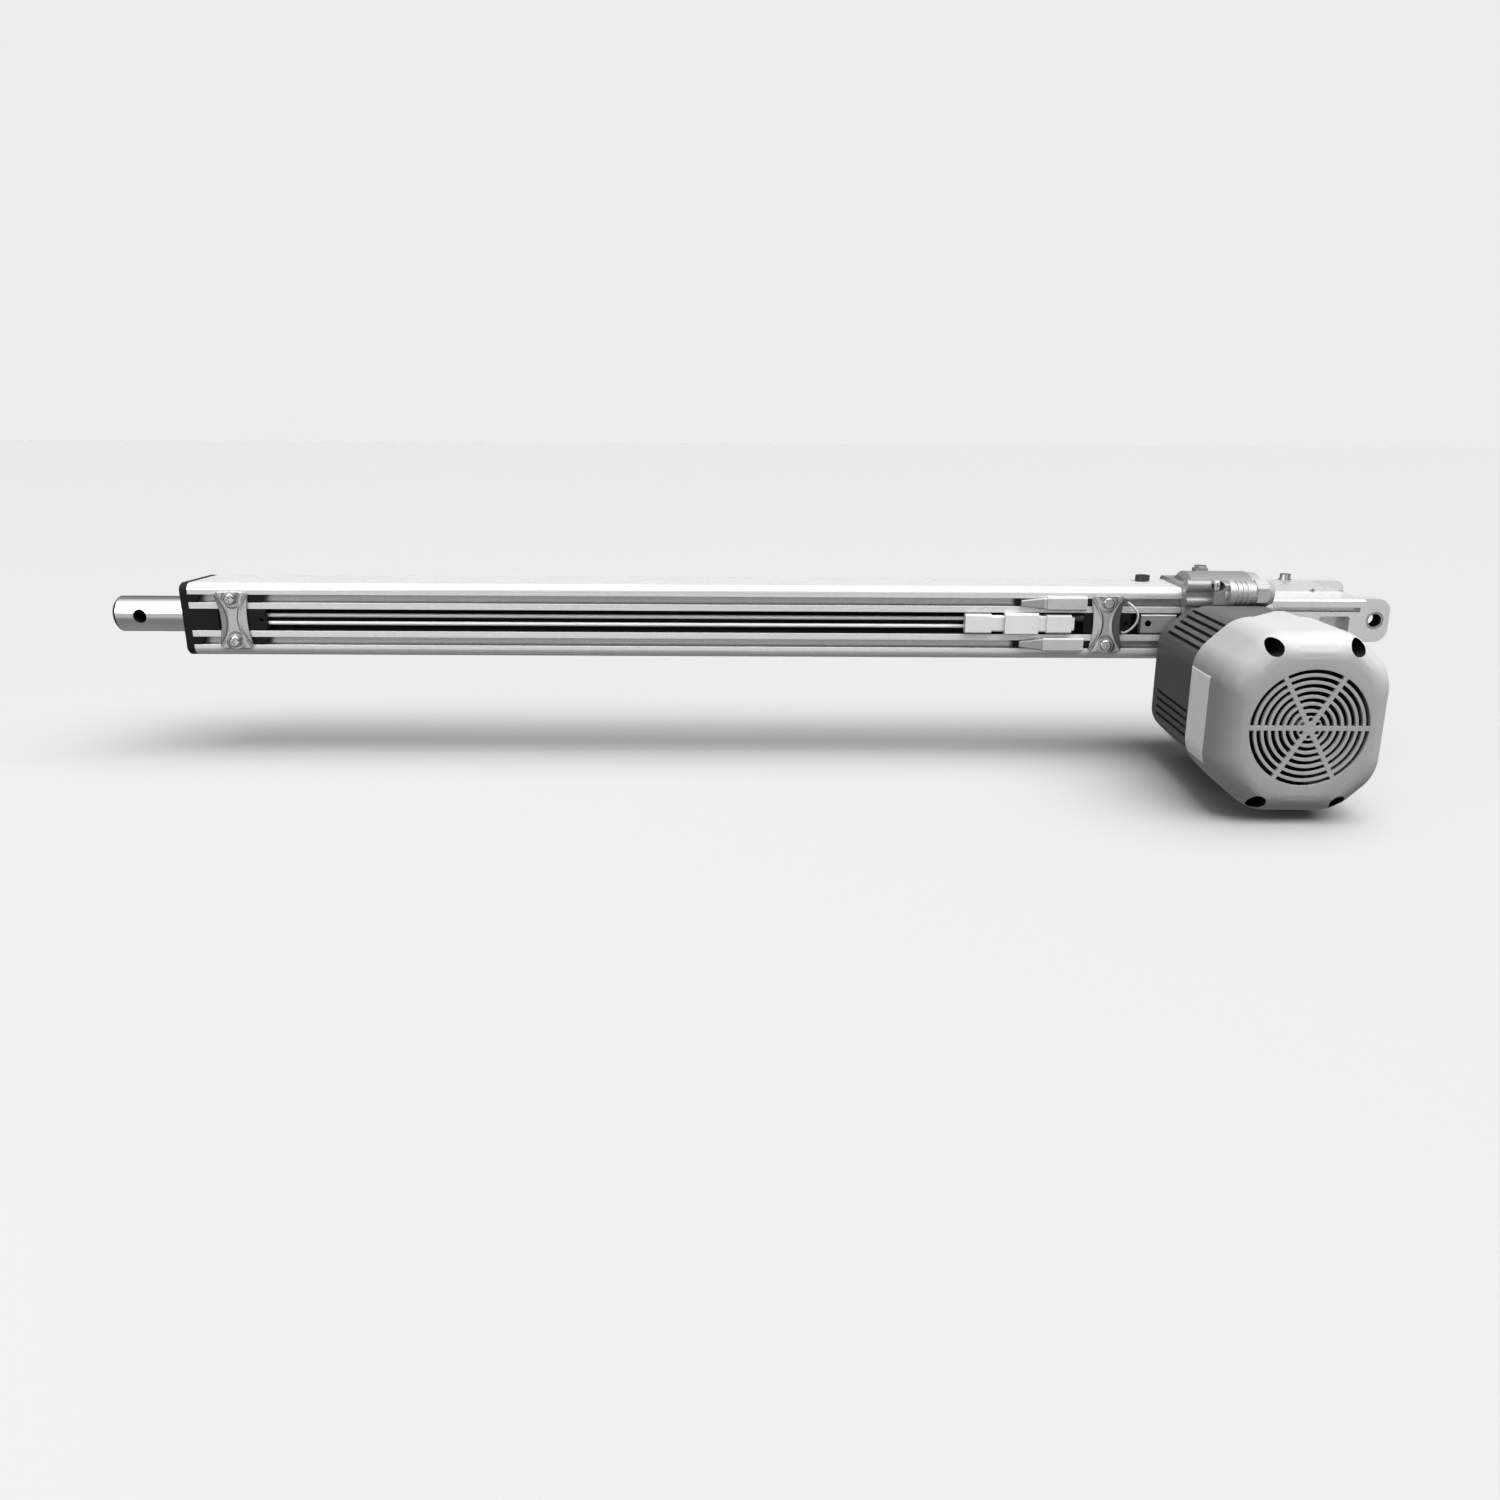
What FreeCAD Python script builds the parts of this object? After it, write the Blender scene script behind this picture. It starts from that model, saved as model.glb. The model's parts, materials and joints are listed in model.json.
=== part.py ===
"""Linear actuator: square slotted aluminium tube, chromed rod, worm gearbox and fan-cooled motor.

Millimetres, +Z up. The origin is the centre of the rear eye's bore. The tube lies along X with the
rod end towards -X, and the motor stands out towards -Y.
"""
import FreeCAD, Part
import math
import os

V = FreeCAD.Vector
AXIS_X, AXIS_Y, AXIS_Z = V(1, 0, 0), V(0, 1, 0), V(0, 0, 1)

# --- overall layout along X -------------------------------------------------------------------
EYE_TIP_X = 12.0
HOUSING_X = -172.5        # left face of the gear housing, where the tube ends
SPLIT_X = -112.0          # joint between gear housing and rear bracket
TUBE_X = -989.4           # outer end of the tube
CAP_X = -996.4
ROD_TIP_X = -1063.7
ROD_HOLE_X = -1039.8
STROKE = 700.0

# --- fasteners and fits -----------------------------------------------------------------------
M4_R, M5_R, M6_R = 2.0, 2.5, 3.0
FIT = 0.05                # radial clearance of parts that stay put
RUN_CLEARANCE = 0.05      # radial clearance of parts that turn or slide
OVER = 1.0                # how far a cutting shape reaches past the face it opens
NEAR = 0.01
PAN_HEAD_R, PAN_HEAD_H = 4.6, 3.2
PAN_ROUNDING = 0.6        # share of a pan head's height taken by its rounded edge and its recess
CROSS_HALF = 0.5
HEX_SHARE = 1.1           # hexagon recess across flats over head radius
HEX_DEPTH = 0.55          # hexagon recess depth over head height
M4_HEAD_R = 4.4
M4_WALL_HOLE_R = 2.1

# --- tube section -----------------------------------------------------------------------------
TUBE = 60.0
HALF = TUBE / 2
CORNER_R = 6.5
TUBE_BORE_R = 20.5
GROOVE_HALF = 9.0
GROOVE_DEPTH = 7.0
GROOVE_FLOOR_Y = -HALF + GROOVE_DEPTH
SLOT_Z = 17.5
SLOT_WIDTH, SLOT_LIP = 6.5, 2.5
SLOT_INNER_WIDTH, SLOT_INNER_DEPTH = 10.6, 4.0
HOLLOW_AT, HOLLOW_THICK = 25.5, 4.0
HOLLOW_WIDTH, BACK_HOLLOW_WIDTH = 22.0, 28.0
PORT_Y, PORT_Z, PORT_R = 17.5, 21.5, 2.1
LOCK_X, LOCK_Y = -194.0, 12.0
LOCK_HEAD_R, LOCK_HEAD_H = 6.0, 5.0
LOCK_TIP_Z = 13.0

# --- tube end ---------------------------------------------------------------------------------
CAP_CHAMFER = 1.5
CAP_SPIGOT = 20.0
CAP_FILLER = 23.0         # length of the cap's filler in the cable groove
TONGUE = (6.5, 9.5)       # length of the tongues in the T-slots, below and above
CAP_HOLE_R = 16.0
WIPER_SEAT_R, WIPER_DEPTH = 19.0, 4.0
WIPER_GAP = 0.3
WIPER_LIP = (18.0, 16.2, 1.6)
BUSH_SEAT_R, BUSH_SEAT_X, BUSH_END = 17.5, CAP_X + 6.0, 30.0
CAP_HEAD_DEPTH, CAP_HEAD_POCKET_R, CAP_SCREW_LENGTH = 3.0, 4.7, 22.0

# --- rod and nut ------------------------------------------------------------------------------
ROD_R = 15.0
ROD_HOLLOW_R = 10.5
ROD_TIP_CHAMFER = 2.5
ROD_PLUG_LENGTH = 60.0
EYE_BORE_R = 5.5
NUT_X0, NUT_X1 = -250.0, -205.0
NUT_R = 20.2
NUT_SOCKET = 15.0
RING_GROOVE_R = 18.2
MAGNET_SPAN = (-247.0, -241.0)
GUIDE_SPAN = (-226.0, -216.0)
GUIDE_GAP = 0.06

# --- spindle ----------------------------------------------------------------------------------
SCREW_R = 8.0
SPINDLE_TIP_X = NUT_X1 - STROKE - 70.0      # the nut stays on the spindle over the whole stroke
TIP_GUIDE_LENGTH, TIP_GUIDE_GAP = 10.0, 0.3
SEAT_R, NOSE_R = 10.0, 7.5
BEARING_A, BEARING_A_R = (-168.0, -154.0), 20.0
BEARING_B, BEARING_B_R = (-109.0, -98.0), 16.0
SPACER_R = 12.5
RACE_SHARE, RACE_DEPTH = 0.22, 0.8          # groove between the races of a bearing

# --- worm gear --------------------------------------------------------------------------------
MODULE = 3.0
WHEEL_TEETH = 20
WHEEL_PITCH_R = MODULE * WHEEL_TEETH / 2
WHEEL_WIDTH = 16.0
WHEEL_GAP_HALF = (1.45, 3.9)                # half widths of a tooth gap at its root and beyond the tip
WHEEL_RECESS = (22.0, 14.0, 3.0)
GEAR_X = -135.6
WHEEL_SPAN = (GEAR_X - WHEEL_WIDTH / 2, GEAR_X + WHEEL_WIDTH / 2)
WORM_PITCH_R = 12.0
WORM_LEAD = math.pi * MODULE
WORM_TURNS = 4
WORM_CORE_HALF = 24.0
WORM_TOOTH_HALF = (2.9, 1.05)               # half widths of the thread at its root and its tip
WORM_PHASE = -90.0                          # puts a thread turn into the wheel's lowest gap
MOTOR_Z = -(WHEEL_PITCH_R + WORM_PITCH_R)

# --- gear housing -----------------------------------------------------------------------------
HOUSING_FRONT_Y, HOUSING_BACK_Y = -36.0, 33.0
HOUSING_HALF_Z = 33.0
HOUSING_CORNER_R = 6.0
DRUM_R, DRUM_INSET, DRUM_CHAMFER = 40.0, 6.0, 4.0
DRUM_BACK_Y = 36.5        # back of the drum and of the worm barrel
BARREL_R = 23.0
SPIGOT = 27.0
SPINDLE_PASS_R = 12.0
CHAMBER_R, CHAMBER_X = 33.3, -150.0
WORM_BORE_R = 17.0
WORM_BEARING, WORM_BEARING_R = (25.0, 33.0), 14.0
WORM_RELIEF_R, WORM_RELIEF = 11.0, 1.5      # clears the shaft end behind the bearing
TIE_YZ = 28.0
TIE_CLEAR_R = 3.25
TIE_HEAD_R, TIE_HEAD_H = 5.0, 6.0
TIE_LENGTH = 19.0
PLUG_X, PLUG_Y = -147.0, 8.0
PLUG_R, PLUG_BOSS_R, PLUG_TOP_Z = 4.0, 6.5, 42.0
UPPER_RIB_R, UPPER_RIB_Y, UPPER_RIB_Z = 5.4, -33.0, 32.0
LOWER_RIB_R, LOWER_RIB_Y, LOWER_RIB_Z = 4.2, -34.5, 19.4
RIB_SCREW_X, RIB_SCREW_Z = -148.0, 33.0
RIB_HEAD_R, RIB_HEAD_H = 4.2, 3.4

# --- cable gland ------------------------------------------------------------------------------
GLAND_Y, GLAND_Z = -38.0, 26.5
GLAND_X0 = -140.0
GLAND_THREAD_R, GLAND_THREAD_LENGTH = 7.5, 3.0
GLAND_BORE_R = 4.5
GLAND_SEAT_R, GLAND_SEAT_LENGTH = 10.5, 12.0
GLAND_POCKET_R = 11.7
GLAND_COLLAR_R, GLAND_COLLAR = 11.0, 4.5
GLAND_BODY_R, GLAND_BODY = 9.6, 22.0
GLAND_RING_R, GLAND_RING_PITCH, GLAND_RING_WIDTH = 10.4, 4.0, 2.0
GLAND_NUT_LENGTH, GLAND_NUT_FLATS = 14.5, 20.0
GLAND_DOME = (14.5, 8.5)

# --- rear bracket and its plate ---------------------------------------------------------------
BRACKET_FLANGE = 12.0
NECK = (34.0, 26.0, 14.0)
ARM_X1 = -19.0
ARM_FRONT_Y, ARM_BACK_Y = -27.0, 22.0
ARM_HALF_Z = 20.5
ARM_ROUND = 2.5
ARM_LINE_Z = (10.0, 14.0)                   # groove under the arm's upper bar
ARM_LINE_DEPTH = 6.0
ARM_RECESS = ((-56.0, -31.0), (-14.0, 6.5), 12.0)
ARM_BACK_RECESS = ((-80.0, -31.0), (-14.0, 14.0), 10.0)
EYE_THICK = 15.0
EAR_ROOT_X, EAR_HALF_Z, EAR_ROUND = -46.0, 18.3, 11.0
GUSSET, GUSSET_HALF_Z = 9.0, 14.0
BUSH_R = 7.5
PLATE_X0, PLATE_X1 = -92.0, -15.7
PLATE_HALF_Z, PLATE_THICK, PLATE_ROUND = 29.5, 8.0, 7.0
PLATE_SCREWS = [(-86.0, 17.0), (-86.0, -17.0), (-26.0, 0.0)]
PLATE_HEAD_R, PLATE_HEAD_H = 4.0, 4.0
DIMPLE_X, DIMPLE_Z, DIMPLE_DEPTH = -42.5, 20.7, 4.0
EARTH_X, EARTH_Y = -66.0, 26.0
EARTH_WASHER_R, EARTH_WASHER_THICK = 5.5, 1.1
EARTH_HEAD_H, EARTH_LENGTH = 4.2, 12.0

# --- motor, along -Y --------------------------------------------------------------------------
FLANGE_Y0, FLANGE_Y1 = -36.0, -46.0
FLANGE_TOP_Z = 14.9
FLANGE_SCREW_CIRCLE = 20.0
FLANGE_SCREW_ANGLES = (15, 165, 230, 310)
FLANGE_HEAD_R, FLANGE_HEAD_DEPTH = 4.6, 5.0
BODY_END_Y = -136.0
BODY_HALF, BODY_FLAT, BODY_CORNER = (55.6, 60.0), (29.0, 35.2), 22.0
FIN_DEPTH, FIN_GAP, FIN_PITCH = 5.0, 2.6, 6.2
SIDE_FINS, SIDE_FIN_START, SIDE_FIN_DEPTH = 4, 10.0, 3.4
SHIELD_BACK_Y = -149.0
SHIELD_HALF, SHIELD_FLAT, SHIELD_CORNER = (55.4, 62.0), (28.2, 35.2), 26.5
TIE_BOLT_DX, TIE_BOLT_DZ = 37.0, 42.0
FRONT_BEARING, REAR_BEARING = (-45.0, -37.0), (-148.0, -138.0)
MOTOR_BEARING_R = 15.0
SHAFT_R, SHAFT_HOLE_R = 6.0, 8.0
CORE_SPAN = (-122.0, -58.0)
STATOR_R, AIR_GAP_R, ROTOR_R = 49.0, 27.6, 27.0
COIL_SLOTS, COIL_CIRCLE = 12, 34.5
COIL_SLOT_R, COIL_R = 4.4, 4.2
END_TURN_R, END_TURN_BORE, END_TURN = 40.0, 29.0, 9.0
FAN_Y = (-186.0, -166.0)
FAN_BLADES, FAN_HUB_R, FAN_DISC_R, FAN_TIP_R = 8, 12.0, 30.0, 44.0

# --- fan cover --------------------------------------------------------------------------------
RIM_Y = -129.7
SHOULDER_Y = -184.0
FACE_Y = -205.3
COVER_HALF, COVER_FLAT, COVER_CORNER = (58.5, 65.0), (30.0, 38.0), 29.0
COVER_INSET = 17.0        # how far the rounded shoulder draws the outline in at the face
COVER_WALL = 2.5
SHOULDER_STEPS = 5
HOOD_HALF, HOOD_CREST_X, HOOD_REACH = 17.0, 10.0, 27.0
COVER_SCREW_DX, COVER_SCREW_DZ = 28.5, 55.5
POCKET_R, POCKET_Y = 5.6, -160.0
POCKET_HOLE_R = 2.35
GRILLE_R, GRILLE_PITCH, GRILLE_SLOT = 41.5, 5.0, 2.9
GRILLE_RINGS, GRILLE_SPOKE = 7, 3.2
GRILLE_DOT_R, GRILLE_DOT_CIRCLE = 1.5, 6.3
GRILLE_DEPTH = 8.0
LABEL_THICK = 0.3
LABEL_Y = (-169.0, -131.0)
LABEL_Z = (-79.0, -14.0)

# --- limit switches and wiring on the tube ----------------------------------------------------
CLAMP_XS = (-952.8, -233.6)
CLAMP_WIDTH, CLAMP_HEIGHT, CLAMP_THICK = 27.0, 47.0, 2.5
CLAMP_ROUND = 4.0
CLAMP_WAIST, CLAMP_WAIST_R = 2.5, 70.0
CLAMP_WASHER_R, CLAMP_WASHER_THICK = 5.9, 0.9
CLAMP_HEAD_R, CLAMP_SCREW_LENGTH = 5.0, 8.6
T_NUT = (12.0, 3.4, 10.0)
T_NUT_GAP = 0.1
SWITCH_SPANS = ((-965.2, -927.0), (-252.0, -213.0))
SWITCH_LAMP_R, SWITCH_LAMP_INSET = 1.6, 4.0
CONN_Y = (-35.5, GROOVE_FLOOR_Y - FIT)
PLUG_PIECES = ((-350.5, -329.0, 1.0, 7.9), (-329.0, -318.0, 2.4, 6.6))
SOCKET_PIECES = ((-318.0, -290.5, 0.0, 8.9), (-290.5, -283.5, 2.4, 6.8),
                 (-283.5, -263.0, 1.2, 7.6), (-263.0, -260.5, 2.4, 5.6))
CONN_ROUND = 1.6
LEAD_R, LEAD_Z = 1.6, 3.3
LEAD_SPAN = (SWITCH_SPANS[0][1], PLUG_PIECES[0][0])
CABLE_R, CABLE_Z = 3.2, 4.2
CABLE_SPAN = (SOCKET_PIECES[-1][1], SWITCH_SPANS[1][0])
SLEEVE_Z, SLEEVE_HALF, SLEEVE_RISE = 17.0, 5.6, 5.6
UPPER_SLEEVE = (-284.0, -251.5)
LOWER_SLEEVE = (-286.0, -252.5)
CRIMP_X = -305.0
BLOCK_SPAN, BLOCK_HALF, BLOCK_PROUD = (-205.0, -176.0), 8.0, 0.8
BLOCK_HOLE_R, BLOCK_HOLE_X = 2.6, -199.0
JUMPER_R = 0.9
JUMPER = [
    V(-216.5, -27.5, 17.5), V(-216.5, -32.5, 17.5), V(-213.5, -36.4, 15.0), V(-209.5, -37.6, 9.0),
    V(-210.5, -37.6, 2.0), V(-215.5, -37.2, -4.0), V(-220.0, -35.0, -7.0), V(-220.0, -29.9, -7.0),
]


# --- helpers ----------------------------------------------------------------------------------
def box(x0, x1, y0, y1, z0, z1):
    return Part.makeBox(x1 - x0, y1 - y0, z1 - z0, V(x0, y0, z0))


def rod_x(radius, x0, x1, y=0.0, z=0.0):
    return Part.makeCylinder(radius, x1 - x0, V(x0, y, z), AXIS_X)


def rod_y(radius, y0, y1, x=0.0, z=0.0):
    return Part.makeCylinder(radius, y1 - y0, V(x, y0, z), AXIS_Y)


def rod_z(radius, z0, z1, x=0.0, y=0.0):
    return Part.makeCylinder(radius, z1 - z0, V(x, y, z0), AXIS_Z)


def ring_x(outer, inner, x0, x1, y=0.0, z=0.0):
    return rod_x(outer, x0, x1, y, z).cut(rod_x(inner, x0 - OVER, x1 + OVER, y, z))


def ring_y(outer, inner, y0, y1, x=0.0, z=0.0):
    return rod_y(outer, y0, y1, x, z).cut(rod_y(inner, y0 - OVER, y1 + OVER, x, z))


def motor_rod(radius, y0, y1):
    return rod_y(radius, y0, y1, GEAR_X, MOTOR_Z)


def motor_ring(outer, inner, y0, y1):
    return ring_y(outer, inner, y0, y1, GEAR_X, MOTOR_Z)


def around_motor(shape, degrees):
    """The shape turned about the motor axis; it is drawn around the Y axis."""
    turned = shape.copy()
    turned.rotate(V(0, 0, 0), AXIS_Y, degrees)
    turned.translate(V(GEAR_X, 0, MOTOR_Z))
    return turned


def corners(dx, dz):
    """Four places around the motor axis."""
    return [(GEAR_X + sx * dx, MOTOR_Z + sz * dz) for sx in (-1, 1) for sz in (-1, 1)]


def fuse(shapes):
    whole = shapes[0].multiFuse(shapes[1:])
    return whole.removeSplitter()


def polygon(points):
    return Part.Face(Part.makePolygon(points + points[:1]))


def edges_along(shape, axis):
    """Straight edges of a shape that run along an axis."""
    picked = []
    for edge in shape.Edges:
        if isinstance(edge.Curve, Part.Line) and edge.Curve.Direction.cross(axis).Length < 1e-6:
            picked.append(edge)
    return picked


def edges_left_of(shape, x):
    return [edge for edge in shape.Edges if edge.BoundBox.XMax < x + NEAR]


def edges_in_front_of(shape, y):
    return [edge for edge in shape.Edges if edge.BoundBox.YMax < y + NEAR]


def rounded_box(x0, x1, y0, y1, z0, z1, radius, axis=AXIS_X):
    block = box(x0, x1, y0, y1, z0, z1)
    return block.makeFillet(radius, edges_along(block, axis))


def rounded_wire(points, radius):
    """Closed wire through the points, each corner turned into a tangent arc."""
    arcs, ends = [], []
    count = len(points)
    for i, corner in enumerate(points):
        before = (points[i - 1] - corner).normalize()
        after = (points[(i + 1) % count] - corner).normalize()
        half_turn = before.getAngle(after) / 2
        reach = radius / math.tan(half_turn)
        start, end = corner + before * reach, corner + after * reach
        middle_way = (before + after).normalize()
        middle = corner + middle_way * (radius / math.sin(half_turn) - radius)
        ends.append((start, end))
        arcs.append(Part.Arc(start, middle, end).toShape())
    edges = []
    for i, arc in enumerate(arcs):
        edges.append(arc)
        edges.append(Part.LineSegment(ends[i][1], ends[(i + 1) % count][0]).toShape())
    return Part.Wire(edges)


def octagon_points(half, flat, y):
    """Corners of the motor's eight-sided outline at one Y, around the motor axis."""
    (hw, hh), (fw, fh) = half, flat
    outline = [(fw, hh), (hw, fh), (hw, -fh), (fw, -hh), (-fw, -hh), (-hw, -fh), (-hw, fh), (-fw, hh)]
    return [V(GEAR_X + x, y, MOTOR_Z + z) for x, z in outline]


def octagon_prism(half, flat, radius, y0, y1):
    face = Part.Face(rounded_wire(octagon_points(half, flat, y0), radius))
    return face.extrude(V(0, y1 - y0, 0))


def inset(pair, amount):
    return (pair[0] - amount, pair[1] - amount)


def hex_prism(at, axis, across_flats, height):
    radius = across_flats / math.sqrt(3)
    side = AXIS_Z if abs(axis.z) < 0.5 else AXIS_X
    other = axis.cross(side)
    points = []
    for i in range(6):
        angle = math.radians(60 * i)
        points.append(at + side * (radius * math.cos(angle)) + other * (radius * math.sin(angle)))
    return polygon(points).extrude(axis * height)


def pan_screw_y(x, z, head_y, head_r, head_h, shank_r, length):
    """Cross-recessed pan head screw along Y, its head towards -Y and seated at head_y."""
    top_y = head_y - head_h
    rounding = head_h * PAN_ROUNDING
    head = rod_y(head_r, top_y, head_y, x, z)
    head = head.makeFillet(rounding, edges_in_front_of(head, top_y))
    arm = head_r / 2
    cross = box(x - arm, x + arm, top_y - OVER, top_y + rounding, z - CROSS_HALF, z + CROSS_HALF)
    cross = cross.fuse(box(x - CROSS_HALF, x + CROSS_HALF, top_y - OVER, top_y + rounding, z - arm, z + arm))
    return head.fuse(rod_y(shank_r, head_y, head_y + length, x, z)).cut(cross)


def socket_screw(at, axis, head_r, head_h, shank_r, length):
    """Hexagon socket cap screw: its head stands out from `at` against the axis, its shank follows it."""
    head = Part.makeCylinder(head_r, head_h, at - axis * head_h, axis)
    shank = Part.makeCylinder(shank_r, length, at, axis)
    hexagon = hex_prism(at - axis * head_h, axis, head_r * HEX_SHARE, head_h * HEX_DEPTH)
    return head.fuse(shank).cut(hexagon)


def race_grooves(ring, outer, inner, span):
    """The two shallow rings that part the races on a bearing's faces."""
    middle = (outer + inner) / 2
    width = (outer - inner) * RACE_SHARE
    faces = ((span[0] - OVER, span[0] + RACE_DEPTH), (span[1] - RACE_DEPTH, span[1] + OVER))
    return [ring(middle + width, middle - width, face[0], face[1]) for face in faces]


def ball_bearing_x(outer, inner, span):
    body = ring_x(outer, inner + RUN_CLEARANCE, span[0], span[1])
    return body.cut(Part.makeCompound(race_grooves(ring_x, outer, inner, span)))


def ball_bearing_y(outer, inner, span):
    body = motor_ring(outer, inner + RUN_CLEARANCE, span[0], span[1])
    return body.cut(Part.makeCompound(race_grooves(motor_ring, outer, inner, span)))


# --- tube and its end -------------------------------------------------------------------------
def profile_tube():
    """Extrusion with a cable groove and two T-slots in front, screw ports and weight-saving hollows."""
    body = rounded_box(TUBE_X, HOUSING_X, -HALF, HALF, -HALF, HALF, CORNER_R)
    x0, x1 = TUBE_X - OVER, HOUSING_X + OVER
    cuts = [rod_x(TUBE_BORE_R, x0, x1)]
    cuts.append(box(x0, x1, -HALF - OVER, GROOVE_FLOOR_Y, -GROOVE_HALF, GROOVE_HALF))
    near, far = HOLLOW_AT - HOLLOW_THICK / 2, HOLLOW_AT + HOLLOW_THICK / 2
    cuts.append(box(x0, x1, near, far, -BACK_HOLLOW_WIDTH / 2, BACK_HOLLOW_WIDTH / 2))
    for side in (-1, 1):
        z = side * SLOT_Z
        lip_y = -HALF + SLOT_LIP
        cuts.append(box(x0, x1, -HALF - OVER, lip_y + OVER, z - SLOT_WIDTH / 2, z + SLOT_WIDTH / 2))
        cuts.append(box(x0, x1, lip_y, lip_y + SLOT_INNER_DEPTH,
                        z - SLOT_INNER_WIDTH / 2, z + SLOT_INNER_WIDTH / 2))
        cuts.append(box(x0, x1, -HOLLOW_WIDTH / 2, HOLLOW_WIDTH / 2,
                        min(side * near, side * far), max(side * near, side * far)))
        for port_y in (-PORT_Y, PORT_Y):
            cuts.append(rod_x(PORT_R + FIT, x0, x1, port_y, side * PORT_Z))
    cuts.append(rod_z(M5_R + FIT, LOCK_TIP_Z - OVER, HALF + OVER, LOCK_X, LOCK_Y))
    return body.cut(Part.makeCompound(cuts))


def cap_screw_places():
    return [(y, z) for y in (-PORT_Y, PORT_Y) for z in (-PORT_Z, PORT_Z)]


def front_cap():
    """Moulded end cap with a spigot in the bore, a filler in the groove and tongues in the T-slots."""
    flange = rounded_box(CAP_X, TUBE_X, -HALF, HALF, -HALF, HALF, CORNER_R)
    flange = flange.makeChamfer(CAP_CHAMFER, edges_left_of(flange, CAP_X))
    pieces = [flange, rod_x(TUBE_BORE_R - FIT, TUBE_X, TUBE_X + CAP_SPIGOT)]
    pieces.append(box(TUBE_X, TUBE_X + CAP_FILLER, -HALF + 2 * FIT, GROOVE_FLOOR_Y - FIT,
                      -GROOVE_HALF + FIT, GROOVE_HALF - FIT))
    half = SLOT_WIDTH / 2 - FIT
    for z in (-SLOT_Z, SLOT_Z):
        tongue = polygon([V(TUBE_X, -HALF, z - half), V(TUBE_X + TONGUE[0], -HALF, z - half),
                          V(TUBE_X + TONGUE[1], -HALF, z + half), V(TUBE_X, -HALF, z + half)])
        pieces.append(tongue.extrude(V(0, SLOT_LIP + 2, 0)))
    cuts = [rod_x(BUSH_SEAT_R, BUSH_SEAT_X, TUBE_X + CAP_SPIGOT + OVER)]
    cuts.append(rod_x(CAP_HOLE_R, CAP_X - OVER, TUBE_X))
    cuts.append(rod_x(WIPER_SEAT_R, CAP_X - OVER, CAP_X + WIPER_DEPTH))
    for y, z in cap_screw_places():
        cuts.append(rod_x(M5_R + FIT, CAP_X - OVER, TUBE_X + OVER, y, z))
        cuts.append(rod_x(CAP_HEAD_POCKET_R, CAP_X - OVER, CAP_X + CAP_HEAD_DEPTH, y, z))
    return fuse(pieces).cut(Part.makeCompound(cuts))


def front_cap_screws():
    screws = []
    for y, z in cap_screw_places():
        seat = V(CAP_X + CAP_HEAD_DEPTH, y, z)
        screws.append(socket_screw(seat, AXIS_X, M4_HEAD_R, CAP_HEAD_DEPTH, PORT_R, CAP_SCREW_LENGTH))
    return Part.makeCompound(screws)


def rod_wiper():
    inner = ROD_R + WIPER_GAP
    body = ring_x(WIPER_SEAT_R - FIT, inner, CAP_X, CAP_X + WIPER_DEPTH)
    root_r, tip_r, length = WIPER_LIP
    lip = Part.makeCone(root_r, tip_r, length, V(CAP_X, 0, 0), -AXIS_X)
    return body.fuse(lip.cut(rod_x(inner, CAP_X - length - OVER, CAP_X + OVER)))


def rod_guide_bush():
    return ring_x(BUSH_SEAT_R - FIT, ROD_R + RUN_CLEARANCE, BUSH_SEAT_X + FIT, TUBE_X + BUSH_END)


# --- rod and nut ------------------------------------------------------------------------------
def rod_cross_hole():
    return rod_y(EYE_BORE_R, -ROD_R - OVER, ROD_R + OVER, ROD_HOLE_X)


def piston_rod():
    """Hollow chromed rod, screwed into the nut and drilled across near its tip."""
    rod = rod_x(ROD_R, ROD_TIP_X, NUT_X0 + NUT_SOCKET)
    rod = rod.makeChamfer(ROD_TIP_CHAMFER, edges_left_of(rod, ROD_TIP_X))
    rod = rod.cut(rod_x(ROD_HOLLOW_R, ROD_TIP_X - OVER, NUT_X0 + NUT_SOCKET + OVER))
    return rod.cut(rod_cross_hole())


def rod_end_plug():
    return rod_x(ROD_HOLLOW_R, ROD_TIP_X, ROD_TIP_X + ROD_PLUG_LENGTH).cut(rod_cross_hole())


def spindle_nut():
    nut = rod_x(NUT_R, NUT_X0, NUT_X1)
    nut = nut.cut(rod_x(ROD_R, NUT_X0 - OVER, NUT_X0 + NUT_SOCKET))
    nut = nut.cut(rod_x(SCREW_R + RUN_CLEARANCE, NUT_X0, NUT_X1 + OVER))
    for x0, x1 in (MAGNET_SPAN, GUIDE_SPAN):
        nut = nut.cut(ring_x(NUT_R + OVER, RING_GROOVE_R, x0, x1))
    return nut


def magnet_ring():
    return ring_x(NUT_R, RING_GROOVE_R, *MAGNET_SPAN)


def nut_guide_ring():
    return ring_x(TUBE_BORE_R - GUIDE_GAP, RING_GROOVE_R, *GUIDE_SPAN)


# --- spindle ----------------------------------------------------------------------------------
def lead_screw():
    """Spindle at its outer diameter, with the seats of the wheel and of both bearings."""
    screw = rod_x(SCREW_R, SPINDLE_TIP_X, HOUSING_X)
    seat = rod_x(SEAT_R, HOUSING_X, WHEEL_SPAN[1])
    nose = rod_x(NOSE_R, WHEEL_SPAN[1], BEARING_B[1])
    return fuse([screw, seat, nose])


def spindle_end_guide():
    return ring_x(ROD_HOLLOW_R - TIP_GUIDE_GAP, SCREW_R, SPINDLE_TIP_X, SPINDLE_TIP_X + TIP_GUIDE_LENGTH)


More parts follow.
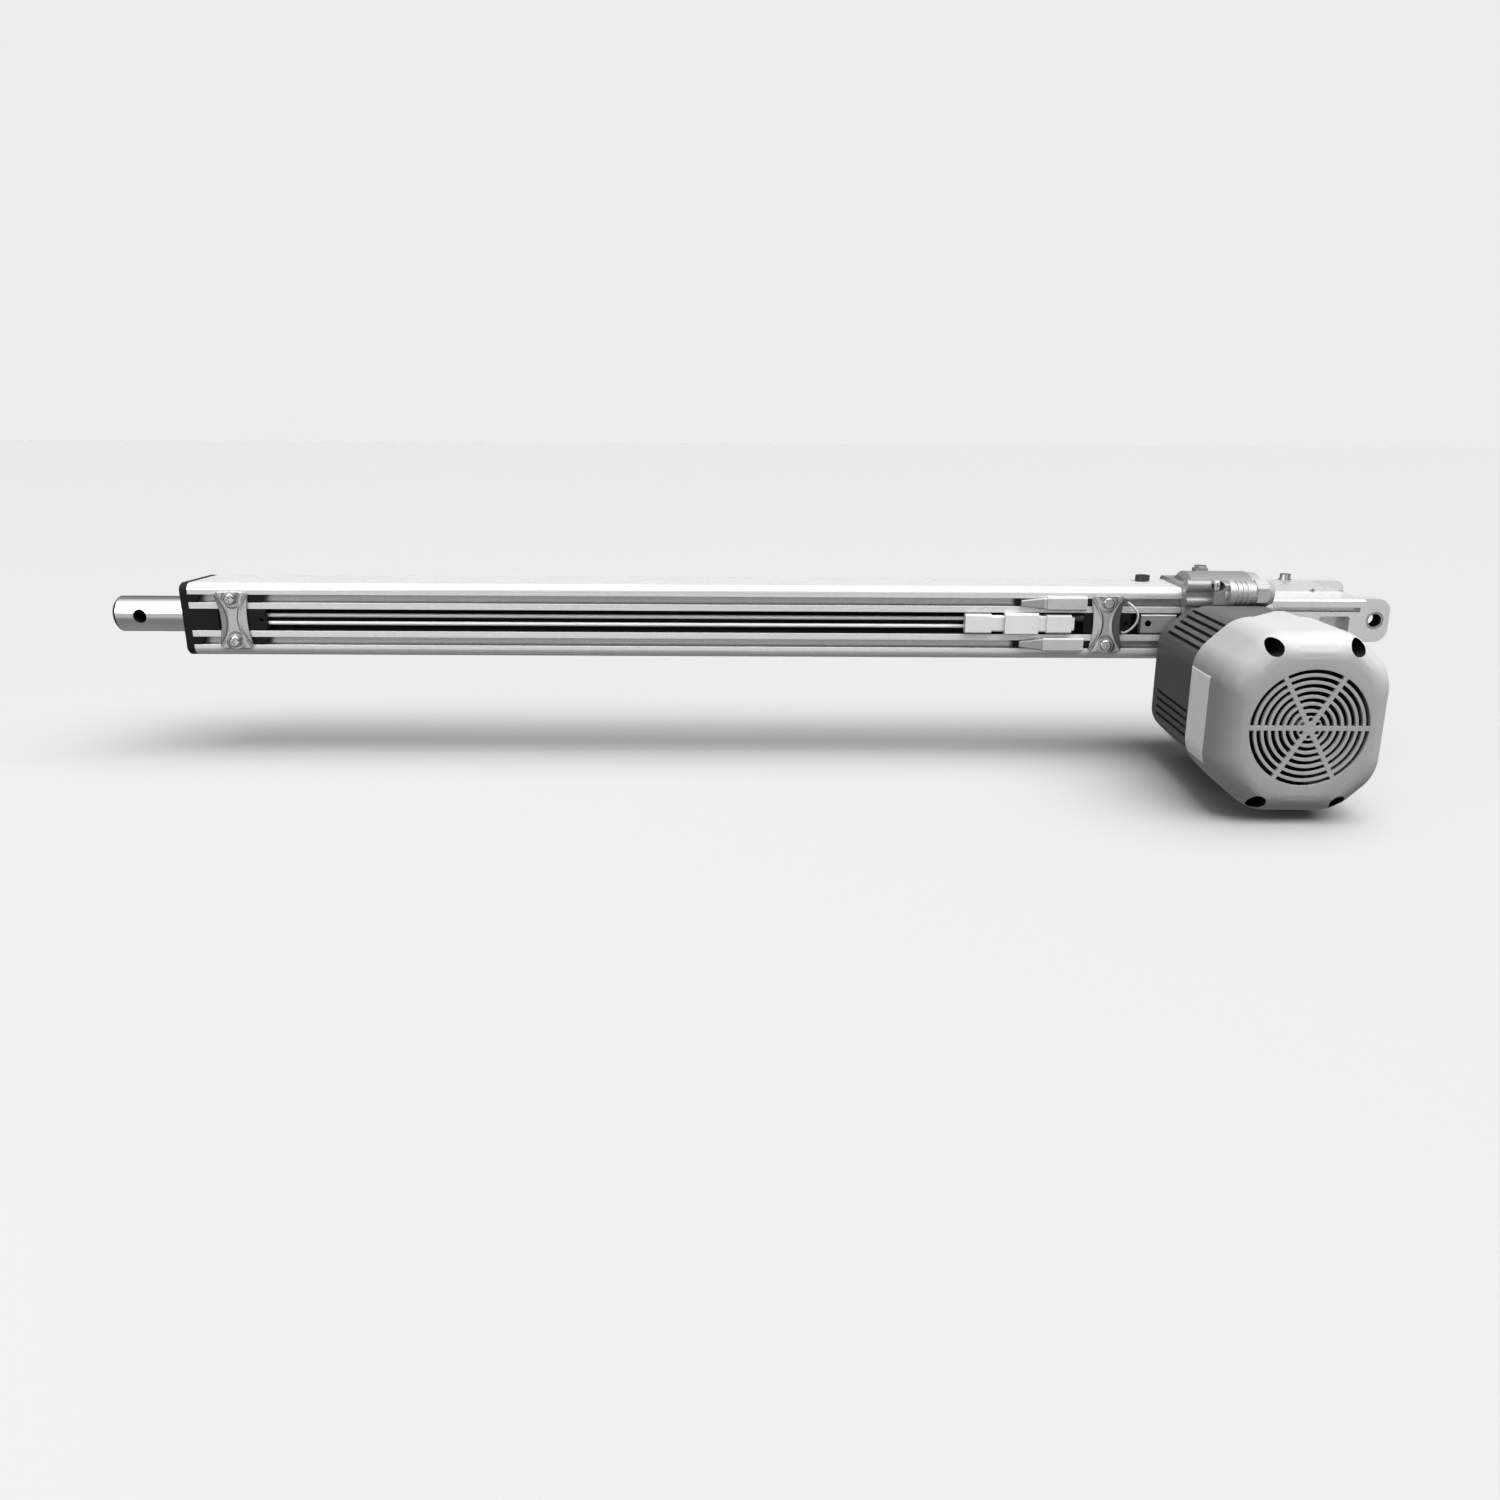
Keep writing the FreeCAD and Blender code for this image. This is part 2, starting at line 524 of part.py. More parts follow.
def worm_wheel():
    """Bronze wheel with straight-flanked gaps, tilted by the worm's lead angle; one gap faces the worm."""
    wheel = ring_x(WHEEL_PITCH_R + MODULE * 0.9, SEAT_R, *WHEEL_SPAN)
    root_z = -(WHEEL_PITCH_R - MODULE * 1.35)
    tip_z = -(WHEEL_PITCH_R + MODULE * 1.2)
    root_half, tip_half = WHEEL_GAP_HALF
    section = polygon([V(-WHEEL_WIDTH, -root_half, root_z), V(-WHEEL_WIDTH, -tip_half, tip_z),
                       V(-WHEEL_WIDTH, tip_half, tip_z), V(-WHEEL_WIDTH, root_half, root_z)])
    gap = section.extrude(V(2 * WHEEL_WIDTH, 0, 0))
    gap.rotate(V(0, 0, 0), AXIS_Z, math.degrees(math.atan(WORM_LEAD / (2 * math.pi * WORM_PITCH_R))))
    gaps = []
    for i in range(WHEEL_TEETH):
        tooth_gap = gap.copy()
        tooth_gap.rotate(V(0, 0, 0), AXIS_X, 360.0 * i / WHEEL_TEETH)
        tooth_gap.translate(V(GEAR_X, 0, 0))
        gaps.append(tooth_gap)
    outer, inner, depth = WHEEL_RECESS
    recess = ring_x(outer, inner, WHEEL_SPAN[0] - OVER, WHEEL_SPAN[0] + depth)
    return wheel.cut(Part.makeCompound(gaps)).cut(recess)


def spindle_spacers():
    left = ring_x(SPACER_R, SEAT_R, BEARING_A[1], WHEEL_SPAN[0])
    right = ring_x(SEAT_R, NOSE_R, WHEEL_SPAN[1], BEARING_B[0])
    return Part.makeCompound([left, right])


# --- gear housing -----------------------------------------------------------------------------
def tie_places():
    """Y and Z of the screws between gear housing and rear bracket; the gland takes the fourth corner."""
    return [(TIE_YZ, TIE_YZ), (TIE_YZ, -TIE_YZ), (-TIE_YZ - 1.0, -TIE_YZ)]


def flange_places():
    """Motor flange screws, on a circle around the motor axis and all over the housing's metal."""
    places = []
    for degrees in FLANGE_SCREW_ANGLES:
        angle = math.radians(degrees)
        places.append((GEAR_X + FLANGE_SCREW_CIRCLE * math.cos(angle),
                       MOTOR_Z + FLANGE_SCREW_CIRCLE * math.sin(angle)))
    return places


def front_to_back(x0, x1):
    """Everything between the housing's front face and the back of its drum."""
    return box(x0, x1, HOUSING_FRONT_Y, DRUM_BACK_Y, -DRUM_R - 10, DRUM_R + 10)


def gear_housing_solid():
    """Outer form of the casting: block, drum over the wheel, worm barrel, ribs, boss and spigot."""
    block = rounded_box(HOUSING_X, SPLIT_X, HOUSING_FRONT_Y, HOUSING_BACK_Y,
                        -HOUSING_HALF_Z, HOUSING_HALF_Z, HOUSING_CORNER_R)
    drum_x = HOUSING_X + DRUM_INSET
    drum = rod_x(DRUM_R, drum_x, SPLIT_X)
    drum = drum.makeChamfer(DRUM_CHAMFER, edges_left_of(drum, drum_x))
    drum = drum.common(front_to_back(HOUSING_X, SPLIT_X))
    barrel = rod_y(BARREL_R, HOUSING_FRONT_Y, DRUM_BACK_Y, GEAR_X, MOTOR_Z)
    boss = rod_z(PLUG_BOSS_R, HOUSING_HALF_Z + OVER, PLUG_TOP_Z, PLUG_X, PLUG_Y)
    spigot = rod_x(TUBE_BORE_R - FIT, HOUSING_X - SPIGOT, HOUSING_X)
    upper_rib = rod_x(UPPER_RIB_R, HOUSING_X + OVER, GLAND_X0, UPPER_RIB_Y, UPPER_RIB_Z)
    lower_rib = rod_x(LOWER_RIB_R, HOUSING_X + OVER, GLAND_X0, LOWER_RIB_Y, LOWER_RIB_Z)
    seat = rod_x(GLAND_SEAT_R, GLAND_X0 - GLAND_SEAT_LENGTH, GLAND_X0, GLAND_Y, GLAND_Z)
    seat = seat.common(box(HOUSING_X, 0, GLAND_Y - 7, GLAND_Y + 8, 0, 2 * GLAND_Z))
    return fuse([block, drum, barrel, boss, spigot, upper_rib, lower_rib, seat])


def gear_housing():
    cuts = [rod_x(CHAMBER_R, CHAMBER_X, SPLIT_X + OVER)]
    cuts.append(rod_x(BEARING_A_R + FIT, BEARING_A[0], CHAMBER_X + OVER))
    cuts.append(rod_x(SPINDLE_PASS_R, HOUSING_X - SPIGOT - OVER, BEARING_A[0] + OVER))
    cuts.append(rod_y(WORM_BORE_R, HOUSING_FRONT_Y - OVER, WORM_BEARING[0], GEAR_X, MOTOR_Z))
    cuts.append(rod_y(WORM_BEARING_R + FIT, WORM_BEARING[0] - OVER, WORM_BEARING[1], GEAR_X, MOTOR_Z))
    cuts.append(rod_y(WORM_RELIEF_R, WORM_BEARING[1] - OVER, WORM_BEARING[1] + WORM_RELIEF, GEAR_X, MOTOR_Z))
    cuts.append(rod_z(PLUG_R + FIT, PLUG_TOP_Z - 6, PLUG_TOP_Z + OVER, PLUG_X, PLUG_Y))
    cuts.append(rod_z(M4_WALL_HOLE_R + FIT, 5, 21, LOCK_X, LOCK_Y))
    cuts.append(rod_x(GLAND_THREAD_R + FIT, GLAND_X0 - GLAND_THREAD_LENGTH, GLAND_X0 + OVER,
                      GLAND_Y, GLAND_Z))
    cuts.append(rod_x(GLAND_POCKET_R, GLAND_X0, SPLIT_X + OVER, GLAND_Y, GLAND_Z))
    cuts.append(rod_y(RIB_HEAD_R + 0.2, HOUSING_FRONT_Y - 14, HOUSING_FRONT_Y, RIB_SCREW_X, RIB_SCREW_Z))
    cuts.append(rod_y(M4_R + FIT, HOUSING_FRONT_Y - OVER, HOUSING_FRONT_Y + 8, RIB_SCREW_X, RIB_SCREW_Z))
    for y, z in tie_places():
        cuts.append(rod_x(M6_R + FIT, SPLIT_X - 8, SPLIT_X + OVER, y, z))
    for x, z in flange_places():
        cuts.append(rod_y(M5_R + FIT, HOUSING_FRONT_Y - OVER, HOUSING_FRONT_Y + 12, x, z))
    return gear_housing_solid().cut(Part.makeCompound(cuts))


def grease_plug():
    cap = hex_prism(V(PLUG_X, PLUG_Y, PLUG_TOP_Z), AXIS_Z, 9.0, 2.0)
    return fuse([cap, rod_z(PLUG_R, PLUG_TOP_Z - 5, PLUG_TOP_Z, PLUG_X, PLUG_Y)])


def rib_screw():
    return pan_screw_y(RIB_SCREW_X, RIB_SCREW_Z, HOUSING_FRONT_Y, RIB_HEAD_R, RIB_HEAD_H, M4_R, 7.0)


def tube_lock_screw():
    return socket_screw(V(LOCK_X, LOCK_Y, HALF), -AXIS_Z, LOCK_HEAD_R, LOCK_HEAD_H,
                        M4_WALL_HOLE_R, HALF - LOCK_TIP_Z)


def housing_screws():
    screws = []
    for y, z in tie_places():
        seat = V(SPLIT_X + BRACKET_FLANGE, y, z)
        screws.append(socket_screw(seat, -AXIS_X, TIE_HEAD_R, TIE_HEAD_H, M6_R, TIE_LENGTH))
    return Part.makeCompound(screws)


# --- rear bracket -----------------------------------------------------------------------------
def rear_ear():
    outline = [V(EAR_ROOT_X, 0, -EAR_HALF_Z), V(EYE_TIP_X, 0, -EAR_HALF_Z),
               V(EYE_TIP_X, 0, EAR_HALF_Z), V(EAR_ROOT_X, 0, EAR_HALF_Z)]
    ear = Part.Face(rounded_wire(outline, EAR_ROUND)).extrude(V(0, EYE_THICK, 0))
    ear.translate(V(0, -EYE_THICK / 2, 0))
    return ear


def ear_gussets():
    gussets = []
    for side in (-1, 1):
        edge = side * EYE_THICK / 2
        gusset = polygon([V(ARM_X1, edge, -GUSSET_HALF_Z), V(ARM_X1, edge + side * GUSSET, -GUSSET_HALF_Z),
                          V(ARM_X1 + GUSSET, edge, -GUSSET_HALF_Z)])
        gussets.append(gusset.extrude(V(0, 0, 2 * GUSSET_HALF_Z)))
    return gussets


def rear_bracket():
    """Casting that closes the gear chamber and carries the rear eye."""
    flange_end = SPLIT_X + BRACKET_FLANGE
    flange = rounded_box(SPLIT_X, flange_end, HOUSING_FRONT_Y, HOUSING_BACK_Y,
                         -HOUSING_HALF_Z, HOUSING_HALF_Z, HOUSING_CORNER_R)
    drum = rod_x(DRUM_R - 1.0, SPLIT_X, SPLIT_X + 8).common(front_to_back(SPLIT_X, SPLIT_X + 8))
    root_r, end_r, length = NECK
    neck = Part.makeCone(root_r, end_r, length, V(flange_end - 2, 0, 0), AXIS_X)
    neck = neck.common(box(SPLIT_X, flange_end + 20, -29, 30, -32, 32))
    arm = rounded_box(flange_end - 2, ARM_X1, ARM_FRONT_Y, ARM_BACK_Y, -ARM_HALF_Z, ARM_HALF_Z, ARM_ROUND)
    body = fuse([flange, drum, neck, arm, rear_ear()] + ear_gussets())
    cuts = [rod_x(BEARING_B_R + FIT, SPLIT_X - OVER, BEARING_B[1])]
    cuts.append(rod_x(CHAMBER_R, SPLIT_X - OVER, SPLIT_X + 2))
    cuts.append(box(flange_end + 4, ARM_X1 - 4, ARM_FRONT_Y - OVER, ARM_FRONT_Y + ARM_LINE_DEPTH,
                    *ARM_LINE_Z))
    (x0, x1), (z0, z1), depth = ARM_RECESS
    cuts.append(rounded_box(x0, x1, ARM_FRONT_Y - OVER, ARM_FRONT_Y + depth, z0, z1, 2.0, AXIS_Y))
    (x0, x1), (z0, z1), depth = ARM_BACK_RECESS
    cuts.append(rounded_box(x0, x1, ARM_BACK_Y - depth, ARM_BACK_Y + OVER, z0, z1, 3.0, AXIS_Y))
    cuts.append(rod_y(BUSH_R, -EYE_THICK, EYE_THICK))
    cuts.append(rod_x(GLAND_POCKET_R, SPLIT_X - OVER, SPLIT_X + 20, GLAND_Y, GLAND_Z))
    cuts.append(box(PLATE_X0, EYE_TIP_X, ARM_BACK_Y, ARM_BACK_Y + 20, -45, 45))
    for y, z in tie_places():
        cuts.append(rod_x(TIE_CLEAR_R, SPLIT_X - OVER, flange_end + OVER, y, z))
        cuts.append(rod_x(TIE_HEAD_R + 0.6, flange_end, flange_end + 14, y, z))
    return body.cut(Part.makeCompound(cuts))


def eye_bush():
    return ring_y(BUSH_R, EYE_BORE_R, -EYE_THICK / 2, EYE_THICK / 2)


def rear_plate():
    """Plate on the far side of the bracket; its upper lip takes the earth screw."""
    outline = [V(PLATE_X0, ARM_BACK_Y, -PLATE_HALF_Z), V(PLATE_X1, ARM_BACK_Y, -PLATE_HALF_Z),
               V(PLATE_X1, ARM_BACK_Y, PLATE_HALF_Z), V(PLATE_X0, ARM_BACK_Y, PLATE_HALF_Z)]
    plate = Part.Face(rounded_wire(outline, PLATE_ROUND)).extrude(V(0, PLATE_THICK, 0))
    cuts = [rod_y(2.0, ARM_BACK_Y - OVER, ARM_BACK_Y + DIMPLE_DEPTH, DIMPLE_X, DIMPLE_Z)]
    cuts.append(rod_z(M4_R + FIT, PLATE_HALF_Z / 2, PLATE_HALF_Z + OVER, EARTH_X, EARTH_Y))
    for x, z in PLATE_SCREWS:
        cuts.append(rod_y(M4_R + FIT, ARM_BACK_Y - OVER, ARM_BACK_Y + PLATE_THICK + OVER, x, z))
    return plate.cut(Part.makeCompound(cuts))


def plate_screws():
    screws = []
    for x, z in PLATE_SCREWS:
        seat = V(x, ARM_BACK_Y + PLATE_THICK, z)
        screws.append(socket_screw(seat, -AXIS_Y, PLATE_HEAD_R, PLATE_HEAD_H, M4_R, PLATE_THICK))
    return Part.makeCompound(screws)


def earth_screw():
    seat_z = PLATE_HALF_Z + EARTH_WASHER_THICK
    washer = rod_z(EARTH_WASHER_R, PLATE_HALF_Z, seat_z, EARTH_X, EARTH_Y)
    washer = washer.cut(rod_z(M4_R, PLATE_HALF_Z - OVER, seat_z + OVER, EARTH_X, EARTH_Y))
    screw = socket_screw(V(EARTH_X, EARTH_Y, seat_z), -AXIS_Z, M4_HEAD_R, EARTH_HEAD_H, M4_R, EARTH_LENGTH)
    return fuse([washer, screw])


# --- motor ------------------------------------------------------------------------------------
def motor_flange():
    body = octagon_prism(BODY_HALF, BODY_FLAT, BODY_CORNER, FLANGE_Y1, FLANGE_Y0)
    cuts = [motor_rod(MOTOR_BEARING_R + FIT, FRONT_BEARING[0], FLANGE_Y0 + OVER)]
    cuts.append(motor_rod(SHAFT_HOLE_R, FLANGE_Y1 - OVER, FLANGE_Y0))
    for x, z in flange_places():
        cuts.append(rod_y(M5_R + FIT, FLANGE_Y1 - OVER, FLANGE_Y0 + OVER, x, z))
        cuts.append(rod_y(FLANGE_HEAD_R, FLANGE_Y1 - OVER, FLANGE_Y1 + FLANGE_HEAD_DEPTH, x, z))
    for x, z in corners(TIE_BOLT_DX, TIE_BOLT_DZ):
        cuts.append(rod_y(M4_R + FIT, FLANGE_Y1 - OVER, FLANGE_Y1 + 9, x, z))
    cuts.append(box(GEAR_X - 60, GEAR_X + 60, FLANGE_Y1 - OVER, FLANGE_Y0 + OVER,
                    FLANGE_TOP_Z, 2 * FLANGE_TOP_Z))
    return body.cut(Part.makeCompound(cuts))


def flange_screws():
    screws = []
    for x, z in flange_places():
        seat = V(x, FLANGE_Y1 + FLANGE_HEAD_DEPTH, z)
        screws.append(socket_screw(seat, AXIS_Y, M4_HEAD_R, FLANGE_HEAD_DEPTH - 0.2, M5_R, 17.0))
    return Part.makeCompound(screws)


def slanted_grooves():
    """Grooves between the fins of the four slanted flanks, five to each."""
    (hw, hh), (fw, fh) = BODY_HALF, BODY_FLAT
    slant = math.degrees(math.atan2(hh - fh, hw - fw))
    grooves = []
    for i in range(-2, 3):
        groove = box(i * FIN_PITCH - FIN_GAP / 2, i * FIN_PITCH + FIN_GAP / 2,
                     BODY_END_Y - OVER, FLANGE_Y1 + OVER, -FIN_DEPTH, FIN_DEPTH)
        groove.rotate(V(0, 0, 0), AXIS_Y, slant)
        groove.translate(V((hw + fw) / 2, 0, (hh + fh) / 2))
        for low in (groove, groove.mirror(V(0, 0, 0), AXIS_Z)):
            for placed in (low, low.mirror(V(0, 0, 0), AXIS_X)):
                grooves.append(around_motor(placed, 0))
    return grooves


def side_grooves():
    """Grooves in the lower half of the two upright flanks."""
    grooves = []
    for sx in (-1, 1):
        side = GEAR_X + sx * BODY_HALF[0]
        bottom = side - sx * SIDE_FIN_DEPTH
        for i in range(SIDE_FINS):
            z = MOTOR_Z - SIDE_FIN_START - i * FIN_PITCH
            grooves.append(box(min(side, bottom), max(side, bottom), BODY_END_Y - OVER, FLANGE_Y1 + OVER,
                               z - FIN_GAP / 2, z + FIN_GAP / 2))
    return grooves


def motor_body():
    """Finned aluminium shell around the stator."""
    body = octagon_prism(BODY_HALF, BODY_FLAT, BODY_CORNER, BODY_END_Y, FLANGE_Y1)
    body = body.cut(Part.makeCompound(slanted_grooves() + side_grooves()))
    cuts = [motor_rod(STATOR_R, BODY_END_Y - OVER, FLANGE_Y1 + OVER)]
    for x, z in corners(TIE_BOLT_DX, TIE_BOLT_DZ):
        cuts.append(rod_y(M5_R + FIT, BODY_END_Y - OVER, FLANGE_Y1 + OVER, x, z))
    return body.cut(Part.makeCompound(cuts))


def stator_core():
    slot = rod_y(COIL_SLOT_R, CORE_SPAN[0] - OVER, CORE_SPAN[1] + OVER, COIL_CIRCLE)
    slots = [around_motor(slot, 360.0 * i / COIL_SLOTS) for i in range(COIL_SLOTS)]
    return motor_ring(STATOR_R, AIR_GAP_R, *CORE_SPAN).cut(Part.makeCompound(slots))


def stator_windings():
    """Copper in the stator slots, joined by an end turn at each end."""
    bar = rod_y(COIL_R, CORE_SPAN[0], CORE_SPAN[1], COIL_CIRCLE)
    pieces = [motor_ring(END_TURN_R, END_TURN_BORE, CORE_SPAN[0] - END_TURN, CORE_SPAN[0])]
    pieces.append(motor_ring(END_TURN_R, END_TURN_BORE, CORE_SPAN[1], CORE_SPAN[1] + END_TURN))
    pieces += [around_motor(bar, 360.0 * i / COIL_SLOTS) for i in range(COIL_SLOTS)]
    return pieces[0].multiFuse(pieces[1:])


def motor_shaft():
    """Shaft and worm in one piece."""
    shaft = motor_rod(SHAFT_R, FAN_Y[0] - 4, WORM_BEARING[1])
    core = motor_rod(WORM_PITCH_R - MODULE * 1.2, -WORM_CORE_HALF, WORM_CORE_HALF)
    return shaft.fuse(core).fuse(worm_thread())


def worm_thread():
    """Helical rib of trapezoid section; its middle turn is centred on the wheel at Y = 0."""
    root_r = WORM_PITCH_R - MODULE * 1.2 - 0.6
    tip_r = WORM_PITCH_R + MODULE * 0.85
    root_half, tip_half = WORM_TOOTH_HALF
    length = WORM_TURNS * WORM_LEAD
    helix = Part.makeHelix(WORM_LEAD, length, root_r)
    section = [V(root_r, 0, -root_half), V(tip_r, 0, -tip_half), V(tip_r, 0, tip_half),
               V(root_r, 0, root_half)]
    profile = Part.makePolygon(section + section[:1])
    thread = Part.Wire(helix.Edges).makePipeShell([profile], True, True)
    thread.translate(V(0, 0, -length / 2))
    thread.rotate(V(0, 0, 0), AXIS_X, -90)
    return around_motor(thread, WORM_PHASE)


def rotor_core():
    return motor_ring(ROTOR_R, SHAFT_R, *CORE_SPAN)


def cooling_fan():
    pieces = [motor_ring(FAN_HUB_R, SHAFT_R, *FAN_Y)]
    pieces.append(motor_ring(FAN_DISC_R, FAN_HUB_R - OVER, FAN_Y[1] - 3, FAN_Y[1]))
    blade = box(FAN_HUB_R - 2, FAN_TIP_R, FAN_Y[0], FAN_Y[1], -1.0, 1.0)
    pieces += [around_motor(blade, 360.0 * i / FAN_BLADES) for i in range(FAN_BLADES)]
    return fuse(pieces)


def motor_end_shield():
    body = octagon_prism(SHIELD_HALF, SHIELD_FLAT, SHIELD_CORNER, SHIELD_BACK_Y, BODY_END_Y)
    cuts = [motor_rod(MOTOR_BEARING_R + FIT, REAR_BEARING[0], BODY_END_Y + OVER)]
    cuts.append(motor_rod(SHAFT_HOLE_R, SHIELD_BACK_Y - OVER, REAR_BEARING[0] + OVER))
    for x, z in corners(TIE_BOLT_DX, TIE_BOLT_DZ):
        cuts.append(rod_y(M5_R + FIT, SHIELD_BACK_Y - OVER, BODY_END_Y + OVER, x, z))
    for x, z in corners(COVER_SCREW_DX, COVER_SCREW_DZ):
        cuts.append(rod_y(M4_R + FIT, SHIELD_BACK_Y - OVER, BODY_END_Y - 2, x, z))
    return body.cut(Part.makeCompound(cuts))


# --- fan cover --------------------------------------------------------------------------------
def cover_form(shrink):
    """Eight-sided pot of the fan cover with its rounded shoulder, smaller by `shrink` all round."""
    half, flat = inset(COVER_HALF, shrink), inset(COVER_FLAT, shrink * 0.4)
    shoulder = SHOULDER_Y + shrink * 0.4
    depth = (FACE_Y + shrink) - shoulder
    rim = RIM_Y + (OVER if shrink > 0 else 0.0)
    sections = [(rim, 0.0), (shoulder, 0.0)]
    for i in range(1, SHOULDER_STEPS + 1):
        angle = math.radians(90.0 * i / SHOULDER_STEPS)
        sections.append((shoulder + depth * math.sin(angle), COVER_INSET * (1 - math.cos(angle))))
    wires = []
    for y, amount in sections:
        outline = octagon_points(inset(half, amount), inset(flat, amount * 0.45), y)
        wires.append(rounded_wire(outline, COVER_CORNER - shrink))
    return Part.makeLoft(wires, True, True)


def grille_slots():
    """Ring slots of the cover's face, parted by three bars, and a ring of dots in the middle."""
    y0, y1 = FACE_Y - 5, FACE_Y + GRILLE_DEPTH
    slots = []
    for i in range(GRILLE_RINGS):
        outer = GRILLE_R - i * GRILLE_PITCH
        slots.append(motor_ring(outer, outer - GRILLE_SLOT, y0, y1))
    bar = box(-50, 50, y0 - OVER, y1 + OVER, -GRILLE_SPOKE / 2, GRILLE_SPOKE / 2)
    bars = [around_motor(bar, 60.0 * i) for i in range(3)]
    dot = rod_y(GRILLE_DOT_R, y0, y1, GRILLE_DOT_CIRCLE)
    dots = [around_motor(dot, 30.0 + 60.0 * i) for i in range(6)]
    return [Part.makeCompound(slots).cut(Part.makeCompound(bars))] + dots


def cover_hood():
    """Flat tongue of the cover's top that reaches towards the gear housing."""
    top_z = MOTOR_Z + COVER_HALF[1]
    end_y = RIM_Y + HOOD_REACH
    outline = polygon([V(GEAR_X - HOOD_HALF, RIM_Y, top_z), V(GEAR_X + HOOD_CREST_X, end_y, top_z),
                       V(GEAR_X + HOOD_HALF, end_y, top_z), V(GEAR_X + HOOD_HALF, RIM_Y, top_z)])
    return outline.extrude(V(0, 0, -COVER_WALL))


def fan_cover():
    """Moulded pot with four screw pockets, a hood towards the gear housing and a slotted face."""
    places = corners(COVER_SCREW_DX, COVER_SCREW_DZ)
    walls = [rod_y(POCKET_R + 2.0, FACE_Y - OVER, POCKET_Y + COVER_WALL, x, z) for x, z in places]
    room = cover_form(COVER_WALL).cut(Part.makeCompound(walls))
    cuts = grille_slots()
    for x, z in places:
        cuts.append(rod_y(POCKET_R, FACE_Y - 5, POCKET_Y, x, z))
        cuts.append(rod_y(POCKET_HOLE_R, FACE_Y, POCKET_Y + 5, x, z))
    return cover_form(0.0).cut(room).fuse(cover_hood()).cut(Part.makeCompound(cuts))


def cover_screws():
    screws = []
    length = BODY_END_Y - 2.5 - POCKET_Y
    for x, z in corners(COVER_SCREW_DX, COVER_SCREW_DZ):
        screws.append(pan_screw_y(x, z, POCKET_Y, PAN_HEAD_R, PAN_HEAD_H, M4_R, length))
    return Part.makeCompound(screws)


def through_bolts():
    """Bolts that draw the end shield and the body onto the flange."""
    bolts = []
    length = FLANGE_Y1 + 8 - SHIELD_BACK_Y
    for x, z in corners(TIE_BOLT_DX, TIE_BOLT_DZ):
        bolts.append(pan_screw_y(x, z, SHIELD_BACK_Y, PAN_HEAD_R, PAN_HEAD_H, M4_R, length))
    return Part.makeCompound(bolts)


def rating_plate():
    """Blank film that follows the cover's left flank."""
    skin = cover_form(-LABEL_THICK).cut(cover_form(0.0))
    return skin.common(box(GEAR_X - 70, GEAR_X - 45, LABEL_Y[0], LABEL_Y[1], LABEL_Z[0], LABEL_Z[1]))


# --- limit switches ---------------------------------------------------------------------------
def clamp_plate(x):
    """Plate with drawn-in sides that bridges the two T-slots."""
    plate = rounded_box(x - CLAMP_WIDTH / 2, x + CLAMP_WIDTH / 2, -HALF - CLAMP_THICK, -HALF,
                        -CLAMP_HEIGHT / 2, CLAMP_HEIGHT / 2, CLAMP_ROUND, AXIS_Y)
    y0, y1 = -HALF - CLAMP_THICK - OVER, -HALF + OVER
    for side in (-1, 1):
        waist_x = x + side * (CLAMP_WIDTH / 2 - CLAMP_WAIST + CLAMP_WAIST_R)
        plate = plate.cut(rod_y(CLAMP_WAIST_R, y0, y1, waist_x))
        plate = plate.cut(rod_y(M4_WALL_HOLE_R, y0, y1, x, side * SLOT_Z))
    return plate


def clamp_places():
    return [(x, z) for x in CLAMP_XS for z in (-SLOT_Z, SLOT_Z)]


def clamp_screws():
    screws = []
    plate_y = -HALF - CLAMP_THICK
    seat_y = plate_y - CLAMP_WASHER_THICK
    for x, z in clamp_places():
        washer = rod_y(CLAMP_WASHER_R, seat_y, plate_y, x, z)
        screw = pan_screw_y(x, z, seat_y, CLAMP_HEAD_R, PAN_HEAD_H, M4_R, CLAMP_SCREW_LENGTH)
        screws.append(fuse([washer, screw]))
    return Part.makeCompound(screws)


def t_nuts():
    nuts = []
    length, thick, width = T_NUT
    y0 = -HALF + SLOT_LIP + T_NUT_GAP
    for x, z in clamp_places():
        nut = box(x - length / 2, x + length / 2, y0, y0 + thick, z - width / 2, z + width / 2)
        nuts.append(nut.cut(rod_y(M4_R + FIT, y0 - OVER, y0 + thick + OVER, x, z)))
    return Part.makeCompound(nuts)


def limit_switch(span):
    """Magnetic switch that lies in the cable groove, with the hole of its lamp."""
    body = rounded_box(span[0], span[1], -HALF + 2 * FIT, GROOVE_FLOOR_Y - FIT,
                       -GROOVE_HALF + 0.2, GROOVE_HALF - 0.2, 1.2)
    return body.cut(rod_y(SWITCH_LAMP_R, -HALF - OVER, -HALF + 3, span[1] - SWITCH_LAMP_INSET))


# --- wiring in the cable groove ---------------------------------------------------------------
def switch_lead():
    y = GROOVE_FLOOR_Y - LEAD_R - 2 * FIT
    return Part.makeCompound([rod_x(LEAD_R, LEAD_SPAN[0], LEAD_SPAN[1], y, z) for z in (-LEAD_Z, LEAD_Z)])


def connector(pieces):
    """Moulded connector half: blocks in a row, each (start, end, set-back of its front, half height)."""
    blocks = []
    for x0, x1, back, half in pieces:
        blocks.append(rounded_box(x0, x1, CONN_Y[0] + back, CONN_Y[1], -half, half, CONN_ROUND))
    return fuse(blocks)


def switch_cable():
    return rod_x(CABLE_R, CABLE_SPAN[0], CABLE_SPAN[1], GROOVE_FLOOR_Y - CABLE_R - 4 * FIT, CABLE_Z)


